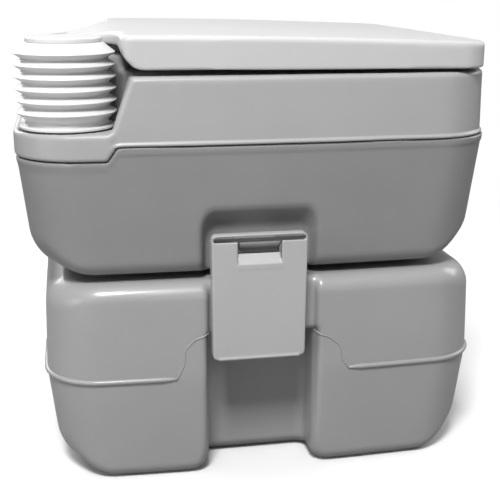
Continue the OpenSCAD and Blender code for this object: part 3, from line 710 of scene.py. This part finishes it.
def deck_upper(x, y, z):
    """The deck down to any depth, without its hollow."""
    top = round_and(deck_outline(x, y, z), z - DECK_TOP, 4.5)
    cheek = rect(x - CHEEK_X, np.abs(y) - CHEEK_Y, CHEEK_HALF_L, CHEEK_HALF_W, 4)
    body = round_or(top, round_and(cheek, z - DECK_TOP - CHEEK_H, 3), 2)
    body = cut(body, corner_well(x, y, z), 3.2)
    body = cut(body, round_and(x - REAR_LEDGE_X, LEDGE_Z - z, 4), 3)
    scoop = from_axis(x - HINGE[0], z - HINGE[2]) - SCOOP_R
    return cut(body, round_and(scoop, np.abs(y) - SCOOP_HALF_W, 4), 2.5)


def top_deck():
    """The deck's shell, with the bowl's mouth, the pump's floor and the filler's neck in the rear corners."""
    xs = spaced(-218, 214, 5, [(-215, -203, 1.3), (-203, -106, 2.3), (-106, -90, 3), (120, 150, 3),
                               (160, 212, 2.8)])
    ys = spaced(-183, 183, 5, both_ways([(60, 182, 2.6)]))
    zs = spaced(REAR_SEAM_Z - 3, DECK_TOP + 17, 4.5,
                [(REAR_SEAM_Z - 2, SEAM_Z + 5, 0.8), (SEAM_Z + 5, 320, 1.5),
                 (DECK_TOP - 8, DECK_TOP + 16, 1.5)])
    g = Grid(xs, ys, zs)
    upper = deck_upper(g.x, g.y, g.z)
    body = round_and(upper, seam_height(g.x) - g.z, 1.4 + 2.4 * behind_step(g.x))
    wall = DECK_TOP_WALL + (DECK_WALL - DECK_TOP_WALL) * ease((DECK_TOP - 3 - g.z) / 6)
    shell = np.maximum(body, -(upper + wall))
    mouth = rect(g.x - BOWL_X, g.y, MOUTH_HALF_L, MOUTH_HALF_W, 104)
    shell = cut(shell, mouth, 2.5)
    pump_side = g.y < 0
    across = from_axis(g.x - PUMP_X, np.abs(g.y) - abs(PUMP_Y))
    recess = np.maximum(across - PUMP_RECESS_R, LEDGE_Z - PUMP_RECESS - g.z)
    near_recess = pump_side & (across < PUMP_RECESS_R + 5.4) & (g.z > LEDGE_Z - 4)
    shell = np.where(near_recess, cut(shell, recess, 1.2), shell)
    floor_field = np.maximum(across - PUMP_FLOOR_R, np.abs(g.z - LEDGE_Z + 4.5) - 1.5)
    shell = np.minimum(shell, np.where(pump_side, floor_field, FAR))
    hole = np.where(pump_side, across - PUMP_HOLE_R, across - FILL_BORE_R)
    neck = round_and(across - FILL_NECK_R, np.maximum(g.z - LEDGE_Z - FILL_NECK_H, LEDGE_Z - 4 - g.z), 0.8)
    shell = np.minimum(shell, np.where(pump_side, FAR, neck))
    shell = np.maximum(shell, -np.maximum(hole, g.z - DECK_TOP))
    dress(g.mesh("deck_shell", shell), "flush_unit", "tank_plastic", deck_plastic, "top_deck")


def bevelled_bar(name, outline, y_from, y_to, bevel=0.8):
    """A flat plate in the XZ plane with rounded rims, from an outline of points, between two Y places."""
    outline = np.array(outline, float)
    inward = outline.mean(0) - outline
    inward /= np.linalg.norm(inward, axis=1)[:, None]
    turn = bevel * 0.3
    rings = []
    for depth, y in ((bevel, y_from), (turn, y_from + turn), (0, y_from + bevel),
                     (0, y_to - bevel), (turn, y_to - turn), (bevel, y_to)):
        ring = outline + inward * depth
        rings.append(np.stack([ring[:, 0], np.full(len(ring), y), ring[:, 1]], -1))
    return new_mesh(name, np.concatenate(rings), tube_faces(len(rings), len(outline)), smooth=False)


EAR_R = 8
EAR_W = 8
EAR_REAR = 6          # from the pin's axis back to the rear of the post's foot
EAR_FOOT = 25         # from the pin's axis down to the foot's end
EAR_Y = (("inner", 34), ("outer", 60))


def hinge_ears():
    """The four posts on the deck that hold the hinge pins."""
    x, z = HINGE[0], HINGE[2]
    arc = [(x + EAR_R * math.cos(a), z + EAR_R * math.sin(a)) for a in np.linspace(0, math.pi, 25)]
    foot = [(x - EAR_REAR, z - EAR_REAR), (x - EAR_REAR, z - EAR_FOOT), (x + EAR_R, z - EAR_FOOT)]
    for name, side in SIDES:
        for row, y in EAR_Y:
            low, high = sorted((side * y, side * (y + EAR_W)))
            ear = bevelled_bar(f"hinge_ear_{name}_{row}", arc + foot, low, high)
            dress(ear, "flush_unit", "tank_plastic", deck_plastic)


# ---------------- lid

LID_WALL = 5
LID_TOP_WALL = 3
LID_X = 38
LID_HALF_L = 162
LID_HALF_W = 171.5
LID_SWELL = 3
LID_REAR_X = -122
LID_FRONT_X = 197.5
LID_BOTTOM = DECK_TOP + 5
LID_SLOPE = 0.0345    # fall of the top per millimetre forward
LID_REAR_DROP = 3.4   # how far the arch lowers the top at the rear
LID_ARCH_L = 200
LID_HINGE_DROP = 11   # how far the top rounds down to the hinge
SKIRT_TURN_X = -104   # where the skirt's lower edge starts to curve up
SKIRT_RISE = 16
TONGUE_HALF_W = 76
TONGUE_REAR_X = HINGE[0] + 12


def lid_top_height(x, y):
    """The lid's top: it falls to the front in a shallow arch and rounds down to the hinge."""
    along = np.maximum(x, LID_REAR_X) - LID_REAR_X
    arch = LID_REAR_DROP * (1 - along / LID_ARCH_L) * np.maximum(1 - along / LID_ARCH_L, 0)
    slope = lid_high[2] - 0.8 - LID_SLOPE * along - arch
    return slope + 0.5 * (1 - (y / 175) ** 2) - LID_HINGE_DROP * ease((LID_REAR_X + 8 - x) / 60)


def lid_bottom_height(x):
    """The lower edge of the skirt: it curves up at the rear corner and stays up along the tongue."""
    t = np.clip((SKIRT_TURN_X - x) / 18, 0, 1)
    curve = np.minimum(20 * (1 - np.sqrt(1 - t * t)), SKIRT_RISE)
    return LID_BOTTOM - 0.008 * (x - SKIRT_TURN_X) + curve


def lid_upper(x, y, z):
    """The lid down to any depth, without its hollow."""
    along = (x - LID_X) / LID_HALF_L
    swell = np.clip(LID_SWELL * (1 - along ** 2), 0, LID_SWELL)
    main = round_and(np.abs(y) - LID_HALF_W - swell, x - LID_FRONT_X, 26)
    main = round_and(main, LID_REAR_X - x, 7)
    tongue = round_and(np.abs(y) - TONGUE_HALF_W, TONGUE_REAR_X - x, 8)
    plan = round_or(main, np.maximum(tongue, x - 100), 46)
    return round_and(plan, z - lid_top_height(x, y), 4.5)


def lid_shell():
    """The lid's cover, whose top is thinner than its skirt."""
    xs = spaced(-191, 204, 5, [(-189, -98, 2.4), (150, 202, 2.4)])
    ys = spaced(-180, 180, 5, both_ways([(66, 130, 2.6), (130, 178, 2.2)]))
    zs = spaced(LID_BOTTOM - 6, lid_high[2] + 3, 2.2,
                [(LID_BOTTOM - 5, LID_BOTTOM + 3, 1.1), (386, 402, 1.3)])
    g = Grid(xs, ys, zs)
    upper = lid_upper(g.x, g.y, g.z)
    body = round_and(upper, lid_bottom_height(g.x) - g.z, 1.2)
    wall = LID_TOP_WALL + (LID_WALL - LID_TOP_WALL) * ease((lid_top_height(g.x, g.y) - 4 - g.z) / 4)
    shell = np.maximum(body, -(upper + wall))
    dress(g.mesh("lid_cover", shell), "lid", "lid_plastic", lid_plastic, "lid_shell")


def lug(name, y_from, y_to, arm_x, arm_low, arm_high, radius=9.0):
    """A hinge knuckle about the pin. Its arm runs forward, and its measures count from the pin's axis."""
    arc = [(HINGE[0] + radius * math.cos(a), HINGE[2] + radius * math.sin(a))
           for a in np.linspace(math.pi * 0.5, math.pi * 1.75, 30)]
    arm = [(HINGE[0] + arm_x, HINGE[2] + arm_low), (HINGE[0] + arm_x, HINGE[2] + arm_high)]
    low, high = sorted((y_from, y_to))
    return bevelled_bar(name, arc + arm, low, high)


def hinge_lugs():
    """The lid's and the seat's knuckles on both pins."""
    for name, side in SIDES:
        piece = lug(f"lid_lug_{name}", side * 42.5, side * 51.5, arm_x=34, arm_low=5, arm_high=12.5)
        dress(piece, "lid", "lid_plastic", lid_plastic)
        piece = lug(f"seat_arm_{name}", side * 52, side * 59.5, arm_x=112, arm_low=-6.5, arm_high=5)
        dress(piece, "seat", "lid_plastic", lid_plastic)


# ---------------- seat and bowl

SEAT_LOW = DECK_TOP + 4.5
SEAT_HIGH = DECK_TOP + 18
SEAT_HALF_L = 142
SEAT_HALF_W = 145
SEAT_HOLE_HALF_L = 108
SEAT_HOLE_HALF_W = 95
SEAT_DISH = 1.8
BOWL_HALF_L = 118
BOWL_HALF_W = 103
BOWL_WALL = 3
BOWL_FLANGE = 14
BOWL_NECK_R = 46
BOWL_NECK_OUTER_R = 49.8


def seat_ring():
    """The seat: a ring whose top falls towards its hole."""
    g = Grid(spaced(-110, 186, 2.6), spaced(-150, 150, 2.6), spaced(SEAT_LOW - 3, SEAT_HIGH + 3, 1.3))
    outer = rect(g.x - LID_X, g.y, SEAT_HALF_L, SEAT_HALF_W, 120)
    hole = rect(g.x - BOWL_X, g.y, SEAT_HOLE_HALF_L, SEAT_HOLE_HALF_W, 93)
    dish = SEAT_DISH * ease(hole / 30)
    ring = round_and(outer, g.z - SEAT_HIGH + SEAT_DISH - dish, 5)
    ring = round_and(ring, SEAT_LOW - g.z, 2)
    ring = round_and(ring, -hole, 5)
    dress(g.mesh("seat", ring), "seat", "lid_plastic", lid_plastic, "seat_ring")


def bowl():
    """The bowl as a closed loft: down its inside, up its outside and round its flange."""
    top = DECK_TOP - 8.5
    low = TUB_BOTTOM + 14
    around = 160
    angles = np.linspace(0, 2 * np.pi, around, endpoint=False)

    def ring(depth, wall):
        """One ring at a share of the depth, moved out by a wall."""
        narrow = depth ** 1.6
        half_x = BOWL_HALF_L + (BOWL_NECK_R - BOWL_HALF_L) * narrow + wall
        half_y = BOWL_HALF_W + (BOWL_NECK_R - BOWL_HALF_W) * narrow + wall
        power = 2.35 - 0.35 * depth
        c, s = np.cos(angles), np.sin(angles)
        reach = (np.abs(c / half_x) ** power + np.abs(s / half_y) ** power) ** (-1 / power)
        x = BOWL_X * (1 - depth ** 1.3) + reach * c
        return np.stack([x, reach * s, np.full(around, top + (low - top) * depth)], -1)

    def neck(radius, z):
        return np.stack([radius * np.cos(angles), radius * np.sin(angles), np.full(around, z)], -1)

    depths = np.linspace(0, 1, 25)
    inside = [ring(d, 0) for d in depths] + [neck(BOWL_NECK_R, TUB_BOTTOM + 1)]
    outside = [neck(BOWL_NECK_OUTER_R, TUB_BOTTOM + 1)] + [ring(d, BOWL_WALL) for d in depths[::-1]]
    flange = [ring(0, BOWL_FLANGE) + [0, 0, -3], ring(0, BOWL_FLANGE + 0.5) + [0, 0, -1.5],
              ring(0, BOWL_FLANGE), ring(0, 2)]
    rings = inside + outside + flange
    piece = new_mesh("bowl_shell", np.concatenate(rings), tube_faces(len(rings), around, looped=True))
    dress(piece, "flush_unit", "lid_plastic", bowl_plastic, "bowl")


# ---------------- pump and caps

CAP_INSET = 3.2       # how much higher than in the CAD model the bellows end and the button starts
RIBS = 20
RIB_DEPTH = 0.028     # as a share of a cap's radius


def bellows():
    """The folded bellows, one closed wall with rounded ridges and valleys."""
    low, high = box_mm("pump_bellows")
    height = high[2] - low[2] + CAP_INSET
    ridge_r, valley_r, wall = 43.0, 35.4, 1.4
    first, last, count = 13.5, 62.5, 6
    pitch = (last - first) / (count - 1)
    outer = [(40, 0), (40, 2.4), (35, 3.2), (35, 7.2)]    # the flange and the neck above it
    radii = [0.8, 0.8, 1.5, 1.5]
    for i in range(count):
        outer.append((ridge_r, first + i * pitch))
        radii.append(0.7)
        if i < count - 1:
            outer.append((valley_r, first + (i + 0.5) * pitch))
            radii.append(1.6)
    outer += [(32.6, height - 0.4), (31, height)]
    radii += [1, 0.5]
    skin = rounded_profile([(36, 0)] + outer + [(24, height)], radii, steps=5)
    inside = [np.array([r - wall, z - 0.4]) for r, z in reversed(skin[8:-2])]
    profile = skin + [np.array([24.0, height - wall])] + inside + [np.array([33.6, 0.0])]
    piece = place(lathe("pump_bellows_skin", profile, around=160, looped=True), (PUMP_X, PUMP_Y, low[2]))
    dress(piece, "flush_unit", "pump_plastic", pump_plastic, "pump_bellows")
    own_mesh(piece)


def pump_cap():
    """The button on top of the bellows, slightly dished."""
    low, high = box_mm("pump_cap")
    low[2] += CAP_INSET
    height = high[2] - low[2]
    side = rounded_profile([(AXIS_R, 0), (31.6, 0), (32, height), (AXIS_R, height)], [0.5, 1.8])[:-1]
    dish = [(20.0, height - 0.15), (8.0, height - 0.35), (AXIS_R, height - 0.4)]
    piece = place(lathe("pump_button", side + dish), (PUMP_X, PUMP_Y, low[2]))
    dress(piece, "pump_plunger", "pump_plastic", pump_plastic, "pump_cap")


def ribbed_cap(name, radius, bore, height):
    """A screw cap with grip ribs round its skirt, standing on Z = 0."""
    def ripple(angles, z):
        grip = ease(z / 3) * ease((height - 3 - z) / 2)
        wave = np.clip(np.cos(RIBS * angles) * 1.8, -1, 1)
        return 1 - RIB_DEPTH * grip * (1 - wave) / 2

    side = [(radius, z) for z in np.linspace(0.6, height - 3, 8)]
    top = [(radius - 0.2, height - 1.6), (radius - 1, height - 0.6), (radius - 2.2, height),
           (radius - 6, height), (radius - 7, height - 0.8), (radius - 12, height - 0.8),
           (AXIS_R, height - 0.8)]
    inner = [(AXIS_R, height - 4), (bore - 1, height - 4), (bore, height - 5), (bore, 0), (radius - 0.8, 0)]
    return lathe(name, side + top + inner, around=240, looped=True, ripple=ripple)


def caps():
    """The filler's cap, and the drain's cap turned to face the rear."""
    low, high = box_mm("fill_cap")
    piece = ribbed_cap("filler_cap", (high[0] - low[0]) / 2, 22.3, high[2] - low[2])
    place(piece, (*middle("fill_cap")[:2], low[2]))
    dress(piece, "fill_closure", "latch_plastic", latch_plastic, "fill_cap")
    low, high = box_mm("drain_cap")
    piece = ribbed_cap("drain_closure_cap", (high[1] - low[1]) / 2, 24.3, high[0] - low[0])
    place(piece, (high[0], 0, middle("drain_cap")[2]), Matrix.Rotation(-math.pi / 2, 4, "Y"))
    dress(piece, "drain_closure", "latch_plastic", latch_plastic, "drain_cap")


# ---------------- latches

LATCH_SHIFT = 0.8     # the plate is wider than the CAD latch by twice this, all of it to the rear
LATCH_RISE = 4.4      # the plate's top edge is this much higher than the CAD latch
LATCH_PLATE_T = 3.4
LATCH_FLANGE_T = 2.4
LATCH_RIM_T = 1.4
LATCH_BAR_R = 2.9
WINDOW_Z = 214.6
WINDOW_HALF_W = 19.3
WINDOW_HALF_H = 10.5
SILL_Z = 203.9
SILL_RAKE = 1.35      # how far the sill drops per millimetre outwards
SILL_RAKE_L = 1.68    # length of the sill per millimetre outwards
CLIP_R = 5.6
CLIP_BORE_R = 3.6
CLIP_X = -10
CLIP_HALF_L = 18


def latch():
    """The left latch: a plate with a window, a slot along its top, side flanges, its bar and its catch."""
    low, high = plate_low, plate_high
    bar_y, bar_z = LATCH_BAR[1:]
    mid_x = (low[0] + high[0]) / 2 - LATCH_SHIFT
    half = (high[0] - low[0]) / 2 + LATCH_SHIFT
    top_z = high[2] + LATCH_RISE
    face_y = high[1]
    xs = spaced(low[0] - 2, high[0] + 2, 1.2,
                [(low[0] - 1, low[0] + 6, 0.7), (high[0] - 6, high[0] + 1, 0.7)])
    ys = spaced(low[1] - 2, face_y + 2, 0.7)
    zs = spaced(low[2] - 2, top_z + 3, 1.3,
                [(low[2] - 1, low[2] + 7, 0.7), (198, 221, 0.7), (221, top_z + 2, 0.5)])
    g = Grid(xs, ys, zs)
    across = np.abs(g.x - mid_x)

    # the plate, a little narrower at its foot, and the flanges, open behind the bar
    narrow = (top_z - g.z) / (top_z - low[2])
    outline = rect(g.x - mid_x, g.z - (low[2] + top_z) / 2, half, (top_z - low[2]) / 2, 5) + narrow
    plate = round_and(outline, face_y - LATCH_PLATE_T - g.y, 0.3)
    flange = np.maximum(outline, -(outline + LATCH_FLANGE_T))
    flange = np.maximum(flange, np.maximum(bar_y - 2 - g.y, g.z - bar_z - 3))
    behind_bar = np.maximum(bar_z - 4 - g.z, g.y - bar_y - 4)
    flange = np.maximum(flange, -np.maximum(behind_bar, across - half + 3))
    body = round_and(np.minimum(plate, flange), g.y - face_y + 0.8, 1.0)

    # the finger lip along the foot, and the slot and the rim along the top
    lip = from_axis(g.z - low[2] - 1.6, g.y - face_y + 1.5) - 1.5
    body = round_or(body, np.maximum(lip, across - half + 6), 0.8)
    slot = rect(g.x - mid_x, g.z - top_z + 4.0, half - 1.4, 2.6, 2.5)
    body = cut(body, np.maximum(slot, face_y - 5 - g.y), 0.4)
    rim = np.maximum(np.maximum(outline, -outline - LATCH_RIM_T), bar_z + 4 - g.z)
    body = np.minimum(body, np.maximum(rim, np.maximum(bar_y + 1 - g.y, g.y - face_y + 1)))

    # the window with its raked sill, the bar behind it, and the catch
    window = rect(g.x - mid_x, g.z - WINDOW_Z, WINDOW_HALF_W, WINDOW_HALF_H, 0.8)
    sill = ((g.z - SILL_Z) + SILL_RAKE * (g.y - face_y + 0.6)) / SILL_RAKE_L
    body = cut(body, np.maximum(window, -sill), 0.4)
    bar = from_axis(g.y - bar_y, g.z - bar_z) - LATCH_BAR_R
    body = np.minimum(body, np.maximum(bar, across - half + 1))
    web = np.maximum(np.maximum(sill, -sill - 2.6), np.maximum(g.y - face_y + 0.6, face_y - 7.5 - g.y))
    body = np.minimum(body, np.maximum(web, across - WINDOW_HALF_W - 0.2))
    catch = rect(g.y - 181, g.z - 129.5, 8, 2.5, 1)
    body = round_or(body, np.maximum(catch, across - half + 6), 1)
    return g.mesh("latch_plate_left", body)


def latches():
    """Both latches, the right one a mirror image of the left."""
    left = latch()
    right = mirrored(left, "latch_plate_right")
    dress(left, "left_latch", "latch_plastic", latch_plastic, "latch_left")
    dress(right, "right_latch", "latch_plastic", latch_plastic, "latch_right")


def latch_clip():
    """The left clip of the tub: an open-topped hook on a stem."""
    y, z = LATCH_BAR[1:]
    root_y = NICHE_BACK_Y - 2
    g = Grid(spaced(-30, 10, 1.0), spaced(NICHE_BACK_Y - 4, y + 8, 0.8), spaced(z - 16, z + 8, 0.8))
    around = from_axis(g.y - y, g.z - z)
    stem = rect(g.y - (root_y + y) / 2, g.z - z + 6, (y - root_y) / 2, 4.5, 0.8)
    clip = round_or(around - CLIP_R, stem, 2)
    clip = np.maximum(clip, -(around - CLIP_BORE_R))
    clip = np.maximum(clip, g.z - z - 0.8)
    clip = round_and(clip, np.abs(g.x - CLIP_X) - CLIP_HALF_L, 0.8)
    return g.mesh("latch_clip_left", clip)


def latch_clips():
    """The clip on each side of the tub that holds a latch bar."""
    left = latch_clip()
    dress(mirrored(left, "latch_clip_right"), "flush_unit", "tank_plastic", tub_plastic_painted_shade)
    dress(left, "flush_unit", "tank_plastic", tub_plastic_painted_shade)


# ---------------- handle and hose

HOSE_R = 5


def valve_handle():
    """The pull of the slide valve, with a finger groove under its front."""
    low, high = box_mm("valve_handle")
    mid = (low + high) / 2
    half = (high - low) / 2
    g = Grid(spaced(low[0] - 2, high[0] + 2, 0.8), spaced(low[1] - 2, high[1] + 2, 1.2),
             spaced(low[2] - 2, high[2] + 2, 0.7))
    outline = rect(g.x - mid[0], g.y, half[0], half[1], 6)
    body = round_and(outline, np.abs(g.z - mid[2]) - half[2], 2)
    groove = from_axis(g.x - high[0] + 4, g.z - low[2]) - 3
    body = cut(body, np.maximum(groove, np.abs(g.y) - half[1] + 8), 0.8)
    tongue = np.maximum(np.abs(g.y) - 30.1, np.abs(g.z - middle("valve_plate")[2]) - 1.6)
    body = np.maximum(body, -np.maximum(tongue, g.x - mid[0]))
    dress(g.mesh("valve_pull", body), "valve_gate", "valve_plastic", dark_plastic, "valve_handle")


def flush_hose():
    """The hose from the pump to the spray nozzle as one smooth curve."""
    low, high = box_mm("flush_hose")
    run_x = high[0] - 6
    z0, z1 = low[2] + HOSE_R, high[2] - HOSE_R
    turns = [(PUMP_X + 33, PUMP_Y, z0), (run_x - 10, PUMP_Y, z0), (run_x, -100, z0), (run_x, -50, z0 + 12),
             (-128, -2, z1), (-111.5, 0, z1)]
    path = rounded_profile(turns, [9, 14, 30, 9], steps=10)
    hose = sweep("flush_hose_tube", path, HOSE_R - 0.1, around=20)
    dress(hose, "flush_unit", "hose_plastic", tube_plastic, "flush_hose")


# ---------------- setting

FLOOR_HALF = 4000
FLOOR_FADE = (0.2, 1.2)    # metres from the origin where the floor starts and ends its fade to white
FLOOR_BOUNCE = 0.28
SKY_STRENGTH = 0.27
LIGHT_TARGET = (0, 0, 0.2)
CAMERA_AT = (-166.0, -959.3, 440.0)
CAMERA_LENS = 69.03
CAMERA_SENSOR = 36
CAMERA_YAW, CAMERA_PITCH, CAMERA_ROLL = 10.761, 15.891, 0.207


def cad_finishes():
    """A procedural material on every CAD node that stays in view."""
    for row in frame["record"]["subparts"]:
        node = frame["nodes"][row["node"]]
        node.data.materials.clear()
        node.data.materials.append(CAD_FINISH[row["material_slot"]])


def floor_finish():
    """Pale floor that fades into the white backdrop, and throws little light back up at the object."""
    material = plastic("floor_white", (0.93, 0.93, 0.93), 0.7, grain=0.02, wave=0.0, mottle=0.0)
    nodes, links = material.node_tree.nodes, material.node_tree.links
    pale, out = nodes["Principled BSDF"], nodes["Material Output"]
    spot = nodes.new("ShaderNodeNewGeometry")
    reach = nodes.new("ShaderNodeVectorMath")
    reach.operation = "LENGTH"
    links.new(spot.outputs["Position"], reach.inputs[0])
    fade = nodes.new("ShaderNodeMapRange")
    fade.interpolation_type = "SMOOTHSTEP"
    fade.inputs["From Min"].default_value = FLOOR_FADE[0]
    fade.inputs["From Max"].default_value = FLOOR_FADE[1]
    links.new(reach.outputs["Value"], fade.inputs["Value"])
    white = nodes.new("ShaderNodeEmission")
    far = nodes.new("ShaderNodeMixShader")
    links.new(fade.outputs["Result"], far.inputs["Fac"])
    links.new(pale.outputs["BSDF"], far.inputs[1])
    links.new(white.outputs["Emission"], far.inputs[2])
    dim = nodes.new("ShaderNodeBsdfDiffuse")
    dim.inputs["Color"].default_value = (FLOOR_BOUNCE, FLOOR_BOUNCE, FLOOR_BOUNCE, 1)
    seen = nodes.new("ShaderNodeLightPath")
    shown = nodes.new("ShaderNodeMixShader")
    links.new(seen.outputs["Is Camera Ray"], shown.inputs["Fac"])
    links.new(dim.outputs["BSDF"], shown.inputs[1])
    links.new(far.outputs["Shader"], shown.inputs[2])
    links.new(shown.outputs["Shader"], out.inputs["Surface"])
    return material


def floor():
    """The plane that the object stands on, which is part of the stage."""
    half = FLOOR_HALF
    piece = new_mesh("floor", [(-half, -half, 0), (half, -half, 0), (half, half, 0), (-half, half, 0)],
                     [(0, 1, 2, 3)], smooth=False)
    piece.data.materials.append(floor_finish())


def softbox(name, place_m, size, power):
    """A square light of a size in metres and a power in watts, aimed at the object."""
    light = bpy.data.lights.new(name, "AREA")
    light.shape = "RECTANGLE"
    light.size = light.size_y = size
    light.energy = power
    lamp = bpy.data.objects.new(name, light)
    lamp.location = place_m
    lamp.rotation_euler = (Vector(LIGHT_TARGET) - Vector(place_m)).to_track_quat("-Z", "Y").to_euler()
    bpy.context.scene.collection.objects.link(lamp)


def lights():
    """A white backdrop with a weaker sky behind it, and five softboxes."""
    world = bpy.data.worlds.new("studio")
    bpy.context.scene.world = world
    world.use_nodes = True
    nodes, links = world.node_tree.nodes, world.node_tree.links
    sky = nodes["Background"]
    sky.inputs["Color"].default_value = (1, 1, 1, 1)
    sky.inputs["Strength"].default_value = SKY_STRENGTH
    backdrop = nodes.new("ShaderNodeBackground")
    backdrop.inputs["Color"].default_value = (1, 1, 1, 1)
    seen = nodes.new("ShaderNodeLightPath")
    mix = nodes.new("ShaderNodeMixShader")
    links.new(seen.outputs["Is Camera Ray"], mix.inputs["Fac"])
    links.new(sky.outputs["Background"], mix.inputs[1])
    links.new(backdrop.outputs["Background"], mix.inputs[2])
    links.new(mix.outputs["Shader"], nodes["World Output"].inputs["Surface"])
    softbox("key", (-0.35, -1.25, 1.75), size=0.45, power=42)
    softbox("overhead", (-0.2, 0.3, 1.7), size=1.2, power=10)
    softbox("front_fill", (1.9, 0.5, 1.2), size=1.0, power=12)
    softbox("back_fill", (-0.9, 1.9, 1.2), size=1.0, power=16)
    softbox("low_left", (-1.8, -0.9, 0.5), size=0.8, power=6)
    bpy.context.scene.view_settings.view_transform = "Standard"


def camera():
    """The viewing angle of the reference: from the pump side, a little above the lid."""
    data = bpy.data.cameras.new("camera")
    data.sensor_width = CAMERA_SENSOR
    data.lens = CAMERA_LENS
    cam = bpy.data.objects.new("camera", data)
    yaw, pitch, roll = (math.radians(a) for a in (CAMERA_YAW, CAMERA_PITCH, CAMERA_ROLL))
    forward = Vector((math.sin(yaw) * math.cos(pitch), math.cos(yaw) * math.cos(pitch), -math.sin(pitch)))
    turn = forward.to_track_quat("-Z", "Y").to_matrix().to_4x4() @ Matrix.Rotation(roll, 4, "Z")
    cam.matrix_world = Matrix.Translation(Vector(CAMERA_AT) * MM) @ turn
    bpy.context.scene.collection.objects.link(cam)
    bpy.context.scene.camera = cam


cad_finishes()
waste_tank()
tank_beads()
flush_tub()
top_deck()
hinge_ears()
lid_shell()
hinge_lugs()
seat_ring()
bowl()
bellows()
pump_cap()
caps()
latches()
latch_clips()
valve_handle()
flush_hose()
floor()
lights()
camera()
